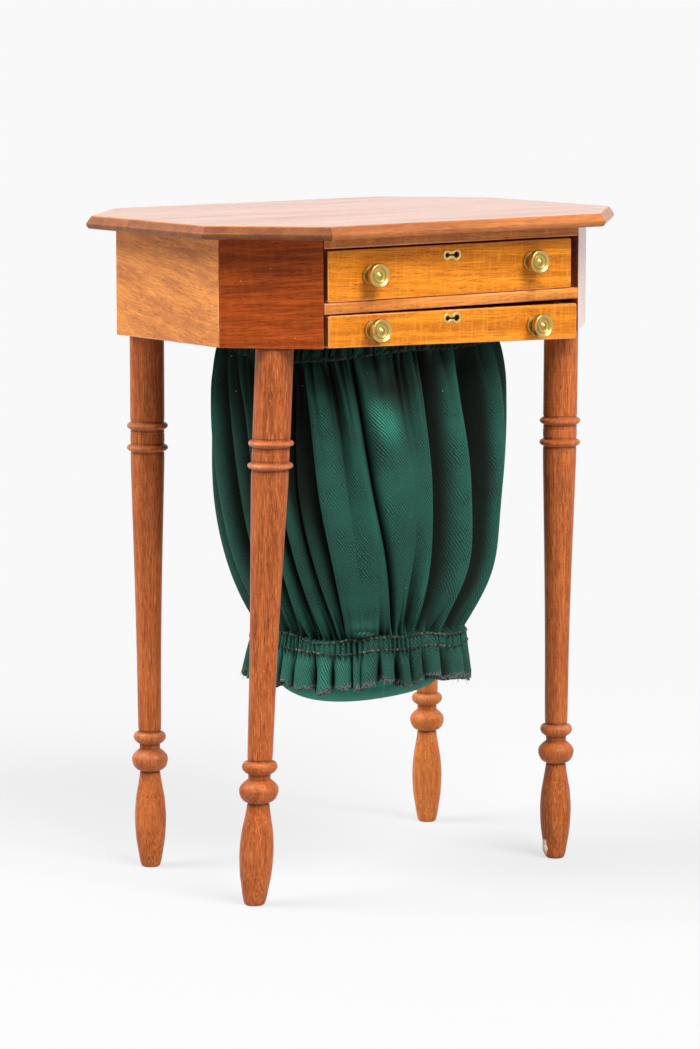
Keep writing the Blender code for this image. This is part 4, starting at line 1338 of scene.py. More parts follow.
@dataclass(frozen=True)
class Plan:
    """The outermost cloth of the bag: a squared oval at each height, drawn in at the mouth and gathering."""

    middle_y: float = -0.625
    squareness: float = 2.4
    neck: Pair = (12.49, 11.87)  # half width and half depth at the mouth
    full: Pair = (13.95, 11.95)  # at the full level
    gathered: Pair = (9.55, 9.2)  # at the gathering
    mean_radius: float = 10.5  # near the gathering, to turn a length into an angle
    mouth: float = 49.7
    full_level: float = 45.0
    gather: float = 22.9
    frill: float = 23.15  # top of the ruffle
    hem: float = 18.3
    swell: float = 0.5
    taper: float = 3.1
    flare: float = 0.85
    # Turn, and how far the gathering is drawn up there
    lifts: Pairs = (
        (-180, 0.0), (-110, 0.0), (-45, 0.2), (-20, -0.25), (0, 0.05), (30, 0.28), (60, -0.15),
        (85, -0.5), (125, -0.15), (180, 0.0),
    )
    lift_fade: float = 4.0
    sag: Triple = (-28.0, 34.0, 1.1)  # turn, spread and depth of the sag in the heading
    sag_fade: float = 3.0
    drawn_in: Triple = (88.0, 30.0, 0.55)  # turn, spread and depth, at the ruffle's edge

    def halves(self, z: Array) -> Array:
        """Half width and half depth at a height.

        From the mouth it swells by a power of a quarter sine to the full level, and from there draws in by a
        power of the way down to the gathering, below which it flares evenly.

        Args:
            z: heights.

        Returns:
            The halves along a new last axis.
        """
        neck, full, tight = (np.array(x) for x in (self.neck, self.full, self.gathered))
        swell = np.clip((self.mouth - z) / (self.mouth - self.full_level), 0, 1)[..., None]
        fall = np.clip((self.full_level - z) / (self.full_level - self.gather), 0, 1)[..., None]
        open_out = np.clip((self.gather - z) / (self.gather - self.hem), 0, 1)[..., None]
        upper = neck + (full - neck) * np.sin(swell * np.pi / 2) ** self.swell
        lower = full - (full - tight) * fall**self.taper + self.flare * open_out
        return np.where(z[..., None] > self.full_level, upper, lower)

    def reach(self, direction: Array, halves: Array) -> Array:
        """How far the squared oval |x/a|^n + |y/b|^n = 1 reaches in a direction, a and b being its halves."""
        return ((np.abs(direction) / halves) ** self.squareness).sum(-1) ** (-1 / self.squareness)

    def around(self, turn: Array, z: Array, out: Array, sway: Array | float = 0.0) -> Array:
        """Points on the cloth, drawn up or down with the gatherings.

        Args:
            turn: their turns.
            z: their heights, before the cloth is drawn up.
            out: how far they stand out from the plan.
            sway: what is added to their turns once they are drawn up.

        Returns:
            x, y and z along a new last axis.
        """
        z = z + self.tilt(turn, z)
        direction = toward(turn + sway)
        reach = self.reach(direction, self.halves(z)) + out
        x, y = reach * direction[..., 0], self.middle_y + reach * direction[..., 1]
        return np.stack(np.broadcast_arrays(x, y, z), -1)

    def tilt(self, turn: Array, z: Array) -> Array:
        """How far the cloth is drawn up or down, dying away by an exponential from either gathering."""
        front = (turn + 180) % 360 - 180
        lift = curve_through(front, *np.array(self.lifts).T)
        middle, spread, depth = self.sag
        sag = -depth * bell(front, middle, spread)
        lift = lift * np.exp(-np.abs(z - self.gather) / self.lift_fade)
        return lift + sag * np.exp(-np.abs(z - self.mouth) / self.sag_fade)

    def down(self, z: Array) -> Array:
        """The share of the way down the ruffle."""
        return np.clip((self.frill - z) / (self.frill - self.hem), 0, 1)

    def close(self, turn: Array, down: Array) -> Array:
        """How far the ruffle lies inside the plan at the right, more towards its edge."""
        middle, spread, depth = self.drawn_in
        return depth * down * bell(turn, middle, spread)


@dataclass
class Tube:
    """The body of the bag: rolls of cloth between grooves, finely gathered at either end."""

    plan: Plan
    rows: int = 90
    columns: int = 20  # across one fold
    below: float = 0.3  # what lies under the gathering
    above: float = 0.05  # what stands above the mouth
    row_bunch: float = 0.05
    column_bunch: float = 0.09
    roll: Pair = (2.2, 0.62)
    turn_levels: Floats = (49.5, 44.0, 37.0, 30.0, 23.0)
    depth_levels: Floats = (48.0, 36.0, 24.0)
    seen: tuple[Groove, ...] = (
        Groove((-76, -71, -65, -60, -53), (2.8, 3.0, 2.0), 0.5, (0.7, 0.8, 0.2)),
        Groove((-62, -55, -49, -44, -42), (2.8, 3.0, 2.0), 0.4, (0.6, 0.4, 0.0)),
        Groove((-52, -46, -41, -38, -36), (2.6, 2.6, 2.0), 0.5, (0.8, 0.4, 0.0)),
        Groove((-43, -39, -36, -31, -24), (2.6, 2.4, 1.6), 0.5, (2.0, 0.7, 0.0)),
        Groove((-33, -31, -28, -21, -12), (3.4, 2.8, 2.0), 0.3, (3.0, 1.2, 0.1)),
        Groove((-23, -20, -17, -12, -7), (3.6, 2.2, 1.8), 0.25),
        Groove((-14, -9.5, -5, -1, 2), (1.7, 0.5, 0.1), 0.7, (0.2, 0.0, 0.0)),
        Groove((-4, 0.5, 6, 14, 20), (2.2, 2.0, 2.0), 0.35),
        Groove((16.5, 20, 26, 28, 28), (1.3, 0.2, 1.6), 0.72),
        Groove((28, 32.5, 37, 39, 36), (3.2, 2.6, 2.4), 0.72),
        Groove((51, 56, 63, 67, 59), (3.6, 3.8, 2.6), 0.5, (3.4, 3.5, 2.0)),
        Groove((63, 71, 77, 79, 71), (3.6, 3.8, 2.6), 0.5),
        Groove((84, 90, 94, 96, 87), (2.2, 2.4, 2.0), 0.5),
    )
    unseen: int = 14  # grooves on the far side
    unseen_depths: Pair = (1.9, 2.7)
    unseen_crests: Pair = (0.3, 0.7)
    sway: Pair = (3.0, 2.4)  # degrees out of their even places, and its rate
    least_groove: float = 0.3
    fades: Pair = (3.0, 1.8)  # of the fine gathers, down from the mouth and up from the stitches
    flattened: float = 0.8  # how much of a groove is lost at either gathering
    fine: Pairs = ((2, 0.37), (4, 0.21))  # gathers in a fold, and their shift by fold
    fine_shape: Pair = (1.5, 1.6)  # depth and power
    # Height, length and shift by fold of the waves that make the ridges uneven
    uneven: tuple[Triple, ...] = ((0.07, 3.4, 2.1), (0.03, 1.9, 3.7))
    slack_in: float = 0.1  # how far the ridges lie inside the plan
    caught: Pair = (0.75, 8.0)  # turn and spread of a fold that the stitches have caught
    caught_smooth: float = 0.85
    lip: Triple = (1.0, 0.6, 0.45)  # its height over the stitches, its spread, and how far it stands out
    swells: tuple[Spot, ...] = (
        Spot(9.0, 42.5, (6.5, 2.6), 1.1, slant=1.0),
        Spot(82.0, 28.0, (26.0, 4.5), 0.5),
    )
    # Painted shade under the heading, a painted shadow under the caught fold, and painted shade where the
    # cloth lies slack
    dim: tuple[Spot, ...] = (
        Spot(15.0, 46.4, (15.0, 1.9), 0.85),
        Spot(0.5, 23.0, (8.0, 0.5), 0.7),
        Spot(23.0, 34.0, (13.0, 8.0), 0.24),
    )
    # A painted highlight on the lit swell, and one along the ridge crests
    highlight_patch: Spot = Spot(10.56, 43.4, (5.5, 1.9), 2.1, slant=1.6)
    ridge_highlight: Triple = (0.12, 4.1, 1.7)  # amount, and length and shift by fold of its wave

    def grooves(self) -> tuple[Array, ...]:
        """The turns, depths and crests of every groove: those in view, and ones behind that sway by a sine.

        Returns:
            Turns by level, depths by level, crests, and how far ridges are sunk by level, by groove.
        """
        chance = np.random.default_rng(SEED)
        first, last = self.seen[0].turns, self.seen[-1].turns
        number = np.arange(1, self.unseen + 1)
        way = (np.array(first) + 360 - last)[:, None] * number / (self.unseen + 1)
        behind = np.array(last)[:, None] + way + sines(number, (self.sway,))
        turns = np.concatenate([np.array([g.turns for g in self.seen]).T, behind], 1)
        depths = np.array([g.depths for g in self.seen]).T
        depths = np.concatenate([depths, chance.uniform(*self.unseen_depths, (len(depths), self.unseen))], 1)
        crests = [g.crest for g in self.seen]
        crests = np.concatenate([crests, chance.uniform(*self.unseen_crests, self.unseen)])
        sunk = np.array([g.sunk for g in self.seen]).T
        sunk = np.concatenate([sunk, np.zeros((len(sunk), self.unseen))], 1)
        return turns, depths, crests, sunk

    def points(self) -> tuple[Array, Marks]:
        """The outside of the tube.

        Columns follow the grooves, closest together in them. Between two the cloth is a roll, near the plan
        at its ridge and down to the depth of its grooves. Near either gathering finer folds ride on it, dying
        away by an exponential, except in the fold that the stitches have caught, which stands out in a
        smooth lip. Slow sines make the ridges uneven, and bell-shaped swells stand out.

        Returns:
            The grid, from the bottom row up, and at each point its painted shade, darker with depth, and its
            painted highlight.
        """
        turns, depths, crests, sunk = self.grooves()
        bottom, mouth, gather = self.plan.gather - self.below, self.plan.mouth, self.plan.gather
        z = bottom + (mouth + self.above - bottom) * bunched(np.linspace(0, 1, self.rows), self.row_bunch)
        level = curve_through(z, self.turn_levels[::-1], turns[::-1])
        depth, lower = (curve_through(z, self.depth_levels[::-1], x[::-1]) for x in (depths, sunk))
        level = np.concatenate([level, level[:, :1] + 360], 1)
        depth = np.concatenate([depth, depth[:, :1]], 1)
        fold = np.repeat(np.arange(len(crests)), self.columns)
        share = bunched(np.tile(np.arange(self.columns) / self.columns, len(crests)), self.column_bunch)
        turn = level[:, fold] * (1 - share) + level[:, fold + 1] * share
        height = z[:, None]

        bent, fallen = rolled(share, crests[fold], *self.roll)
        grooved = np.where(bent < 0.5, depth[:, fold], depth[:, fold + 1])
        ridge = np.minimum(lower[:, fold], grooved - self.least_groove).clip(0)
        inward = ridge * (1 - fallen) + grooved * fallen
        near_mouth = np.exp(-(mouth - height) / self.fades[0])
        near_foot = np.exp(-(height - gather) / self.fades[1])
        for near in (near_mouth, near_foot):
            inward = inward * (1 - self.flattened * np.clip(near, 0, 1) ** 2)
        waves = [np.cos(TURN * (count * share + shift * fold)) for count, shift in self.fine]
        deep, power = self.fine_shape
        caught = np.exp(-(((turn - self.caught[0]) / self.caught[1]) ** 4))
        gathering = np.clip(near_mouth + near_foot * (1 - self.caught_smooth * caught), 0, 1)
        drawn = deep * (0.5 - 0.5 * sum(waves) / len(waves)) ** power * gathering
        uneven = sum(high * np.sin(height / length + shift * fold) for high, length, shift in self.uneven)
        inward = inward + drawn + (uneven + self.slack_in) * (1 - fallen)
        over, spread, stands = self.lip
        lip = stands * caught * bell(height, gather + over, spread)
        out = sum(spot.at(turn, height) for spot in self.swells) + lip - inward

        # Painted shade: darker deep in the grooves, below the case at the mouth, in the fine gathers and in
        # the dim spots
        shaded = np.clip(0.5 * np.exp(-(mouth - height) / 2.4) + 0.5 * drawn, 0, 0.9)
        lit = (1 - 0.95 * smooth(inward, 0.1, 1.5)) * (1 - shaded)
        for spot in self.dim:
            lit = lit * (1 - spot.at(turn, height))
        # A painted highlight on the ridge crests
        amount, length, shift = self.ridge_highlight
        worn = amount * (1 - smooth(inward, 0.05, 0.4)) * (0.5 + 0.5 * np.sin(height / length + shift * fold))
        marks = {"fold": 1 - lit, "rubbed": self.highlight_patch.at(turn, height) + worn}
        return self.plan.around(turn, height, out), marks


@dataclass
class Ruffle:
    """The frill below the gathering, cut raw along its lower edge."""

    plan: Plan
    rows: int = 34
    columns: int = 20  # across one pleat
    column_bunch: float = 0.11
    roll: Pair = (3.0, 0.5)
    valleys: Floats = (-45.6, -36.2, -23.9, -14.5, -3.7, 0.8, 11.1, 20.5, 29.5, 39.3, 52.0, 75.5)
    # How much longer each pleat in view hangs than the hem
    longer: Floats = (-0.15, 0.1, 0.3, -0.15, -0.05, -0.3, -0.65, -0.05, -0.3, -0.7, -0.2)
    unseen: int = 30  # pleats on the far side
    unseen_stray: float = 2.2
    # Least and most of each pleat's depth, extra length, lean, slant of its edge, and crest
    limits: Pairs = ((1.2, 2.0), (-0.35, 0.45), (-0.6, 0.6), (-0.5, 0.5), (0.3, 0.7))
    edge_waves: Pairs = ((0.09, 11.0), (0.06, 23.3))  # height, and rate by pleat
    opens: Pair = (0.16, 0.8)  # shares of the way down between which the pleats open
    hangs: Pair = (0.3, 1.0)  # between which they take their own length
    ribs: int = 128  # fine gathers round the stitches
    rib_ends: Pair = (0.3, 0.62)
    rib_stray: Pair = (0.9, 0.7)
    rib_depth: Triple = (0.2, 0.1, 1.9)  # on average, and height and rate of its change
    lean_depth: float = 0.35
    lean_swing: float = 0.55
    flare: float = 0.2
    seam: Pair = (0.9, 0.09)  # how far the upper edge is turned in, and over what share
    frayed: Pair = (0.88, 0.95)
    fray_wave: Pair = (0.04, 7.3)
    # Turns between which painted shade darkens the pleats, and between which it fades again
    dim: tuple[Pair, Pair] = ((8.0, 20.0), (70.0, 95.0))
    # Where a painted highlight lies on the pleats
    highlight_patch: Triple = (-16.0, 12.0, 0.7)  # turn, spread and amount

    def points(self) -> tuple[Array, Marks]:
        """The outside of the ruffle.

        Between two valleys a pleat is a flat roll that leans, so that one edge stands out. It opens out of
        fine ribs, which are cosines of the turn, at the stitches.

        Returns:
            The grid from the cut edge up, and at each point how frayed it is, its painted shade and its
            painted highlight.
        """
        chance = np.random.default_rng(SEED + 1)
        first, last = self.valleys[0], self.valleys[-1]
        even = np.linspace(last, first + 360, self.unseen + 2)[1:-1]
        even = even + chance.uniform(-self.unseen_stray, self.unseen_stray, len(even))
        edges = np.concatenate([self.valleys, even, [first + 360]])
        count = len(edges) - 1
        phase = np.arange(count * self.columns) / self.columns
        pleat = phase.astype(int)
        share = bunched(phase - pleat, self.column_bunch)
        turn = edges[pleat] * (1 - share) + edges[pleat + 1] * share
        deep, long, lean, slant, crest = (chance.uniform(*limits, count)[pleat] for limits in self.limits)
        long = np.where(pleat < len(self.longer), np.resize(self.longer, count)[pleat], long)

        down = np.linspace(1, 0, self.rows)[:, None]
        hung = long + slant * (share - 0.5) + sines(phase, self.edge_waves)
        z = self.plan.frill - down * (self.plan.frill - self.plan.hem + hung * smooth(down, *self.hangs))
        _, fallen = rolled(share, crest, *self.roll)
        rib = 1 - np.cos(self.ribs * np.radians(turn) + sines(phase, (self.rib_stray,)))
        mean, *change = self.rib_depth
        fine = (mean + sines(phase, (change,))) * (1 - smooth(down, *self.rib_ends)) * rib
        inward = smooth(down, *self.opens) * deep * (fallen + self.lean_depth * lean * (share - 0.5)) + fine
        tucked = self.seam[0] * (1 - smooth(down, 0.0, self.seam[1]))
        out = self.flare * down - self.plan.close(turn, down) - inward - tucked
        sway = np.degrees(self.lean_swing * lean * down**1.5 / self.plan.mean_radius)

        # Painted shade in the valleys, under the turned-in seam and on the pleats between the dim turns
        dim = smooth(turn, *self.dim[0]) * (1 - smooth(turn, *self.dim[1]))
        dim = 0.45 * dim * (0.6 + 0.4 * np.sin(1.7 * phase))
        lit = (1 - 0.96 * smooth(inward + tucked, 0.1, 0.85)) * (1 - dim * smooth(down, 0.25, 0.5))
        middle, spread, amount = self.highlight_patch
        marks = {
            "fray": smooth(down + sines(phase, (self.fray_wave,)), *self.frayed),
            "fold": 1 - lit,
            "rubbed": amount * smooth(down, 0.3, 0.5) * bell(turn, middle, spread),
        }
        return self.plan.around(turn, z, out, sway), marks


@dataclass(frozen=True)
class StitchRow:
    """One row of running stitches round the bag."""

    height: float
    count: int
    length: float
    thick: float
    slant: float  # how far the ends of a stitch lie above and below the row
    out: float  # how far it stands out from the plan

    UNEVEN = 0.18  # places, as a share of the spacing
    WAVE = (0.1, 0.41)  # height, and rate by stitch
    STRAY = 0.04
    LENGTHS = (0.75, 1.15)
    BOW = 0.05
    TONES = (-0.1, 0.32)  # of soiled and of clean thread
    TONE_STRAY = 0.1

    def skin(self, plan: Plan) -> Skin:
        """Sews the row: eggs drawn out along it, each a little askew.

        Args:
            plan: the bag's outermost cloth.

        Returns:
            The skin, with a tone for each stitch.
        """
        chance = np.random.default_rng(SEED + self.count)
        along, across, up = egg_rows(7, 8)
        skin = Skin()
        places = np.arange(self.count) + chance.uniform(-self.UNEVEN, self.UNEVEN, self.count)
        for number, turn in enumerate(places * 360 / self.count):
            wave = sines(number, (self.WAVE,)) + chance.uniform(-self.STRAY, self.STRAY)
            half = self.length / 2 * chance.uniform(*self.LENGTHS)
            at = turn + np.degrees(half * along / plan.mean_radius)
            z = self.height + wave + self.slant * along + self.thick / 2 * up
            bow = self.BOW * (1 - along**2)
            out = self.out + bow + self.thick / 2 * across - plan.close(at, plan.down(z))
            points = plan.around(at, z, out)
            clean = np.sin(2.3 * number) + np.sin(0.37 * number) > 0.4
            tone = self.TONES[int(clean)] + chance.uniform(-self.TONE_STRAY, self.TONE_STRAY)
            skin.tube(points[:, ::-1], tone=np.full(points.shape[:2], tone))
        return skin


@dataclass
class Bag:
    """A tube of twill with a ruffle, gathered at the top into the sliding frame and below over a pad."""

    plan: Plan = Plan()
    cloth: float = 0.2
    flat: Pair = (0.15, 0.0305)  # the cut of the tube, round and down, in metres
    ruffle_drop: float = 4.6
    heading_drop: float = 2.7
    heading_pleats: int = 104
    heading_top: float = 52.4
    heading_seam: Pairs = ((-0.26, 1.6), (-0.13, 0.8))  # rise, and how far it is turned in
    heading_waves: Pairs = ((0.25, 2.1), (0.2, 0.83))
    heading_depth: Triple = (0.2, 0.07, 1.7)  # on average, and height and rate of its change
    tuft: Triple = (50.15, 0.3, 0.16)  # height, spread, and how far the heading puffs out there
    tuck_turns: Pair = (-7.0, 9.0)
    tuck_rise: Pair = (0.72, -0.24)  # over the gathering at its start, and along it
    tuck_thick: Pair = (0.315, 0.189)  # at its start, and along it
    tuck_over: float = 0.6  # how far its upper half is drawn up, in radii, and sunk
    tuck_out: Pair = (0.14, 0.55)  # in its middle, and how far its ends sink
    tuck_flat: Pair = (2.8, 3.0)
    pad_crown: float = 1.9
    pad_side: Pair = (0.93, 0.105)  # width at the seat, as a share, and what it loses to the edge
    pad_flat: Pair = (60.0, 14.0)
    pad_pucker: Floats = (1.6, 1.2, 0.004, 34.0)  # height, spread, depth and count
    pad_hollow: Triple = (-82.0, 36.0, 0.15)  # turn, spread and depth
    pad_lean: float = 0.9  # to the left, at the bottom
    pad_slope: float = 0.035  # how its bottom rises to the right
    pad_drop: float = 0.4
    threads: tuple[tuple[str, StitchRow], ...] = (
        ("upper_gathering_thread", StitchRow(22.78, 160, 0.36, 0.2, slant=0.0, out=-0.02)),
        ("lower_gathering_thread", StitchRow(21.7, 152, 0.36, 0.2, slant=0.0, out=0.0)),
        ("heading_thread", StitchRow(49.72, 100, 0.56, 0.32, slant=0.12, out=0.1)),
    )
    ends: int = 620  # frayed threads
    end_lengths: Pair = (3.0, 0.07)  # shape and scale of their gamma distribution
    long_ends: tuple[int, int] = (92, 300)
    long_end: float = 1.6
    end_curl: float = 0.45
    end_radii: Pair = (0.014, 0.026)
    end_root: float = 0.15  # what is hidden in the cloth
    end_tones: Pair = (-0.3, 0.5)

    def walled(self, outside: Array, width: float, drop: float, **marks: Array) -> Skin:
        """Gives a cloth grid its thickness: the grid, and the same grid set in along its own normals.

        Args:
            outside: the grid, from the bottom row up.
            width: the flat cloth's length round.
            drop: its length down.
            marks: numbers kept at its points.

        Returns:
            The closed skin, with places on the flat cloth.
        """
        inside = outside - self.cloth * normals(outside)
        walked = np.linalg.norm(np.roll(outside, -1, 1) - outside, axis=-1).mean(0)
        walked = np.concatenate([[0], np.cumsum(walked)])
        flat = np.stack(np.meshgrid(width * walked / walked[-1], np.linspace(0, drop, len(outside))), -1)
        flat = np.concatenate([flat, flat[::-1], flat[:1]])
        both = {name: np.concatenate([mark, mark[::-1]]) for name, mark in marks.items()}
        skin = Skin()
        skin.grid(np.concatenate([outside, inside[::-1]]), closed=True, cloth=flat, **both)
        return skin

    def stuffed(self, points: Array, width: float, length: float, **marks: Array) -> Skin:
        """Closes a grid of cloth with a face at each end, on flat cloth of the width and length given."""
        rows, columns = points.shape[:2]
        flat = np.stack(np.meshgrid(np.linspace(0, width, columns + 1), np.linspace(0, length, rows)), -1)
        skin = Skin()
        skin.tube(points, cloth=flat, **marks)
        return skin

    def heading_points(self) -> tuple[Array, Marks]:
        """The short frill above the top stitches: even small pleats, pushed out a little below the case.

        A pleat is a cosine. Under the stitches the seam allowance is turned in, so that no light shows below.

        Returns:
            The grid, and the painted shade that darkens the cloth with depth.
        """
        phase = np.arange(self.heading_pleats * 8) / 8
        turn = 360 * (phase + sines(phase, self.heading_waves)) / self.heading_pleats
        seam = np.array(self.heading_seam)
        t = np.linspace(0, 1, 14)
        rise = np.concatenate([seam[:, 0], (self.heading_top - self.plan.mouth) * t])[:, None]
        turned_in = np.concatenate([seam[:, 1], np.zeros(len(t))])[:, None]
        z = self.plan.mouth - 0.1 + rise + 0 * phase
        mean, *change = self.heading_depth
        inward = (mean + sines(phase, (change,))) * (1 - np.cos(TURN * phase)) + 0.04
        middle, spread, puff = self.tuft
        grid = self.plan.around(turn, z, puff * bell(z, middle, spread) - inward - turned_in)
        # Painted shade between the pleats and on the turned-in seam
        return grid, {"fold": 0.85 * smooth(inward + turned_in, 0.1, 0.4)}

    def tuck_points(self) -> tuple[Array, Marks]:
        """A lip of cloth that the upper stitches have caught: it leaves the tube and hangs over the thread.

        It is a slanting roll, whose radius is a power of a half sine along it, less a wave that turns as it
        goes. Its upper half is drawn up and sinks into the tube with the sine of the way over it.

        Returns:
            The grid along the roll, and at each point its painted shade and its painted highlight.
        """
        s = np.linspace(0.02, 0.98, 36)[:, None]
        angle = np.linspace(0, TURN, 24, endpoint=False)[::-1]
        bulge = np.sin(np.pi * s)
        pinched = (0.5 + 0.5 * np.cos(2 * angle + 7 * s)) ** 3
        start, end = self.tuck_turns
        thick, more = self.tuck_thick
        rise, slant = self.tuck_rise
        out, sunk = self.tuck_out
        radius = (thick + more * s) * bulge**0.4 * (1 - 0.14 * pinched)
        over = self.tuck_over * np.clip(np.sin(angle), 0, 1)
        z = self.plan.gather + rise + slant * s + radius * (np.sin(angle) + over)
        stand = radius * np.cos(angle) - over - sunk * (1 - bulge) + out
        # Painted shade on the roll's underside and in its pinches, and a painted highlight on the rest
        under = smooth(-np.cos(angle) - 0.5 * np.sin(angle), 0.1, 1.0)
        dark = 1 - (1 - 0.9 * under) * (1 - 0.5 * pinched)
        grid = self.plan.around(start + (end - start) * s + 0 * angle, z, stand)
        return grid, {"fold": dark, "rubbed": 0.3 * (1 - dark)}

    def pad_points(self) -> Array:
        """The padded base: drawn in from its seat to a soft edge, then a shallow crown underneath.

        Its side is a power of the way down, its crown a quarter oval, and faint puckers run over the edge.

        Returns:
            The grid from the bottom up.
        """
        low, high = span("bag_base")
        turn = np.linspace(0, 360, 180, endpoint=False)
        t, bend = np.linspace(0, 1, 26), np.linspace(0, np.pi / 2, 22)[1:]
        seat, loss = self.pad_side
        side_z = high[2] - (high[2] - low[2] - self.pad_crown) * t
        z = np.concatenate([side_z, low[2] + self.pad_crown * (1 - np.sin(bend))])[::-1, None]
        crown = (seat - loss) * np.maximum(np.cos(bend), 0.012) ** 0.75
        scale = np.concatenate([seat - loss * t**2, crown])[::-1, None]
        direction = toward(turn)
        at, spread, depth, count = self.pad_pucker
        pucker = depth * bell(z, low[2] + at, spread) * (1 + np.sin(np.radians(turn) * count))
        middle, spread, depth = self.pad_hollow
        hollow = depth * bell((turn + 180) % 360 - 180, middle, spread)
        reach = self.plan.reach(direction, (high - low)[:2] / 2) * scale * (1 - pucker) * (1 - hollow)
        hung = (high[2] - z) / (high[2] - low[2])
        right = toward(90)
        x = reach * direction[:, 0] - self.pad_lean * hung * right[0]
        y = self.plan.middle_y + reach * direction[:, 1] - self.pad_lean * hung * right[1]
        sloped = self.pad_slope * reach * np.sin(np.radians(turn)) - self.pad_drop
        return Axis.Z.place(x, y, z + sloped * hung)

    def frayed(self, edge: Array, under: Array) -> Skin:
        """Threads that hang from the cut edge: thin three-sided tubes that run on from the cloth and curl.

        Args:
            edge: the ruffle's lowest row.
            under: the row above it, which gives the way that the cloth runs.

        Returns:
            The skin, with a tone for each thread.
        """
        chance = np.random.default_rng(SEED + 2)
        t = np.linspace(0, 1, 6)[:, None]
        angle = np.linspace(0, TURN, 3, endpoint=False)[:, None]
        columns = np.sort(chance.uniform(0, len(edge), self.ends)).astype(int)
        lengths = chance.gamma(*self.end_lengths, self.ends)
        lengths[list(self.long_ends)] = self.long_end
        skin = Skin()
        for column, length in zip(columns, lengths):
            root = edge[column]
            down = root - under[column]
            down = down / np.linalg.norm(down)
            away = chance.normal(0, self.end_curl, 3)
            path = root - self.end_root * down + length * t * (down + away * t)
            radius = chance.uniform(*self.end_radii) * (1 - 0.5 * t)
            side = np.array([root[1], -root[0], 0.0])
            side = side / np.linalg.norm(side)
            ring = np.cos(angle) * side + np.sin(angle) * np.cross(down, side)
            points = path[:, None] + radius[..., None] * ring
            skin.tube(points, tone=np.full(points.shape[:2], chance.uniform(*self.end_tones)))
        return skin

    def sewn(self, name: str, skin: Skin, finish: Material, *nodes: str) -> Piece:
        """Makes a piece of cloth or thread, smooth all over, that rides on the sliding frame."""
        return settle(skin.piece(name, finish, crease=180), Body.SLIDE, Slot.CLOTH, *nodes)

    def build(self) -> None:
        twill = Twill("green_twill", thread="1A6152", gap="091C18", bloom="20705A").material()
        width, drop = (1 / MM * x for x in self.flat)
        grid, marks = Tube(self.plan).points()
        body = self.sewn("bag_cloth", self.walled(grid, width, drop, **marks), twill, "bag")
        frill, marks = Ruffle(self.plan).points()
        ruffle = self.sewn("bag_ruffle", self.walled(frill, width, self.ruffle_drop, **marks), twill)
        grid, marks = self.heading_points()
        heading = self.sewn("bag_heading", self.walled(grid, width, self.heading_drop, **marks), twill)
        grid, marks = self.tuck_points()
        tuck = self.sewn("bag_tuck", self.stuffed(grid, *self.tuck_flat, **marks), twill)

        lining = Twill("base_twill", thread="2A7E68", gap="19584A", bloom="40967C", rib=0.2, bead=0.18)
        pad = self.stuffed(self.pad_points(), *self.pad_flat)
        pad = pad.piece("bag_padded_base", lining.material(), crease=60)
        settle(pad, Body.SLIDE, Slot.CLOTH, "bag_base")

        pale = Yarn("pale_thread", light="6A6048", dark="0E0C0A").material()
        black = Yarn("dark_thread", light="201F1D", dark="050505").material()
        for (name, row), yarn in zip(self.threads, (pale, pale, black)):
            self.sewn(name, row.skin(self.plan), yarn)
        loose = Yarn("frayed_ends", light="8C9490", dark="0E1F1A").material()
        self.sewn("frayed_edge", self.frayed(frill[0], frill[1]), loose)


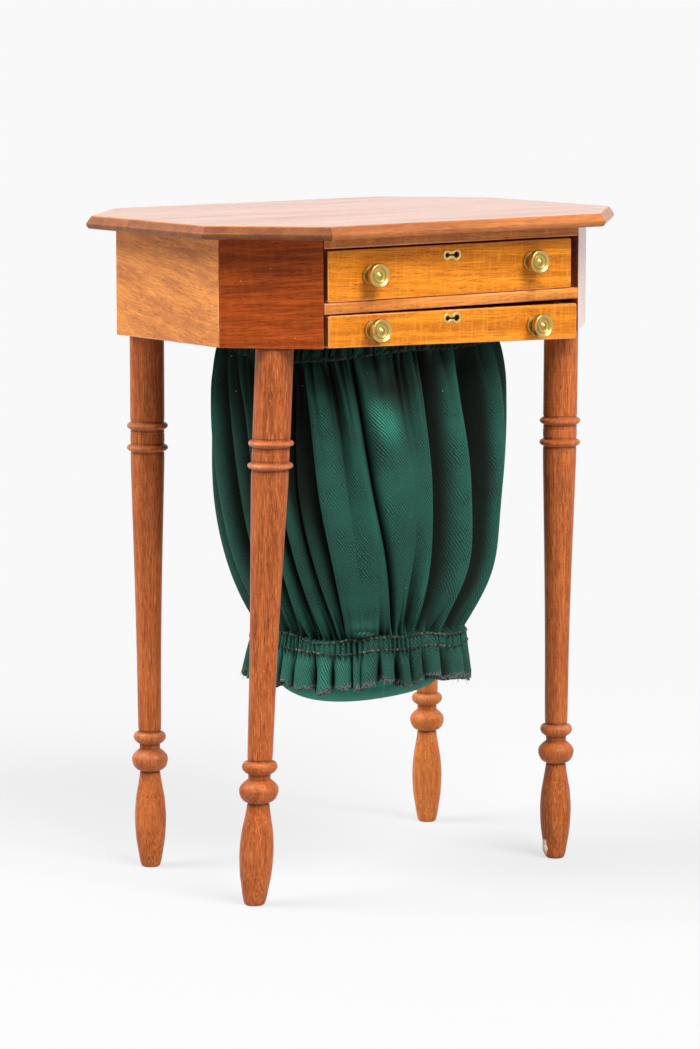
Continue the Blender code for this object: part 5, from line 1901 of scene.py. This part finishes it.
@dataclass
class Studio:
    """A plain white floor, a soft lamp before the fronts, one at the left, and a room paler at the back."""

    white: float = 0.945
    floor: str = "B4B4B6"
    floor_roughness: float = 0.9
    floor_size: float = 20000.0
    near: Pair = (40.0, 170.0)  # where the floor passes from lit to evenly white
    washed: float = 0.72  # how white it looks at the table
    room: Pair = (0.1, 0.85)  # light from behind the viewpoint, and from behind the table
    room_turns: Pair = (-0.8, 0.8)  # cosines to the view between which it changes
    # Turn from -Y towards +X, height in degrees, power in watts, size
    lamps: tuple[tuple[str, float, float, float, float], ...] = (
        ("front_lamp", 0.0, 48.0, 10.6, 460.0),
        ("left_lamp", -118.0, 48.0, 9.0, 460.0),
    )
    distance: float = 850.0
    aim: float = 30.0  # height that the lamps shine at
    sight: Pair = (0.01, 100.0)  # of the camera, in metres

    def camera(self) -> None:
        """Sets the viewpoint."""
        data = bpy.data.cameras.new("viewpoint")
        data.lens, data.sensor_width = VIEW_LENS, VIEW_SENSOR
        data.clip_start, data.clip_end = self.sight
        made = bpy.data.objects.new("viewpoint", data)
        made.location = tuple(x * MM for x in VIEW_PLACE)
        made.rotation_euler = tuple(np.radians((90 + VIEW_PITCH, 0.0, -VIEW_YAW)))
        bpy.context.scene.collection.objects.link(made)
        bpy.context.scene.camera = made

    def build(self) -> None:
        """Makes the floor, the lamps and the room."""
        scene = bpy.context.scene
        scene.view_settings.view_transform = "Standard"
        self.camera()
        reach = np.linspace(-self.floor_size, self.floor_size, 3)
        skin = Skin()
        skin.grid(Axis.Z.place(*np.meshgrid(reach, reach), np.zeros(1)), around=False)
        skin.piece("floor", self.floor_material())
        for name, turn, height, power, size in self.lamps:
            lamp = bpy.data.lights.new(name, "AREA")
            lamp.energy, lamp.size = power, size * MM
            made = bpy.data.objects.new(name, lamp)
            a, e = np.radians((turn, height))
            away = np.array([np.sin(a) * np.cos(e), -np.cos(a) * np.cos(e), np.sin(e)])
            made.location = tuple((away * self.distance + np.array([0, 0, self.aim])) * MM)
            made.rotation_euler = (np.pi / 2 - e, 0.0, a)
            scene.collection.objects.link(made)
        self.world()

    def floor_material(self) -> Material:
        """Matt white card: lit and shadowed near the table, evenly white further off to the eye."""
        made, put, shader = blank("white_card")
        card = {"Roughness": self.floor_roughness, "Specular IOR Level": 0.0}
        connect(shader, {"Base Color": linear(self.floor), **card})
        place = put("TexCoord", out="Object")
        away = put("VectorMath", {0: place}, out="Value", operation="LENGTH")
        near, far = (x * MM for x in self.near)
        step = {"Value": away, "From Min": near, "From Max": far, "To Min": self.washed}
        fade = put("MapRange", step, interpolation_type="SMOOTHSTEP")
        amount = put("Math", {0: fade, 1: self.seen(put)}, **TIMES)
        white = put("Emission", {"Color": (self.white, self.white, self.white, 1.0), "Strength": 1.0})
        mixed = put("MixShader", {0: amount, 1: shader.outputs[0], 2: white})
        connect(made.node_tree.nodes["Material Output"], {"Surface": mixed})
        return made

    def seen(self, put: Adder) -> Socket:
        """1 for what is seen straight, in a mirror or through glass, and 0 for light that only shines."""
        seen = put("LightPath", out="Is Camera Ray")
        path = seen.node.outputs
        for other in ("Is Glossy Ray", "Is Transmission Ray"):
            seen = put("Math", {0: seen, 1: path[other]}, operation="MAXIMUM")
        return seen

    def world(self) -> None:
        """The room: paler behind the table than behind the viewpoint, and white where it is seen."""
        world = bpy.data.worlds.new("room")
        bpy.context.scene.world = world
        world.use_nodes = True
        put = partial(add, world.node_tree)
        a = np.radians(VIEW_YAW)
        views = {0: put("TexCoord", out="Generated"), 1: (np.sin(a), np.cos(a), 0.0)}
        ahead = put("VectorMath", views, out="Value", operation="DOT_PRODUCT")
        (start, end), (dim, pale) = self.room_turns, self.room
        step = {"From Min": start, "From Max": end, "To Min": dim, "To Max": pale}
        light = put("MapRange", {"Value": ahead, **step})
        strength = put("Mix", {0: self.seen(put), 2: light, 3: self.white})
        connect(world.node_tree.nodes["Background"], {"Color": (1.0, 1.0, 1.0, 1.0), "Strength": strength})


def main() -> None:
    """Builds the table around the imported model."""
    logging.basicConfig(level=logging.INFO, format="%(name)s %(message)s")
    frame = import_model()
    legs, case, drawers, brass = Legs(), Case(), Drawers(), BrassWork()
    TableTop().build()
    case.boards()
    case.posts(legs)
    legs.build()
    drawers.fronts(frame)
    drawers.boards()
    drawers.bag_board(frame)
    rows = {"upper": (Body.DRAWER, "upper_drawer_front"), "lower": (Body.SLIDE, "bag_slide_front")}
    brass.knobs(rows)
    brass.plates(rows)
    Bag().build()
    Studio().build()


if __name__ == "__main__":
    main()
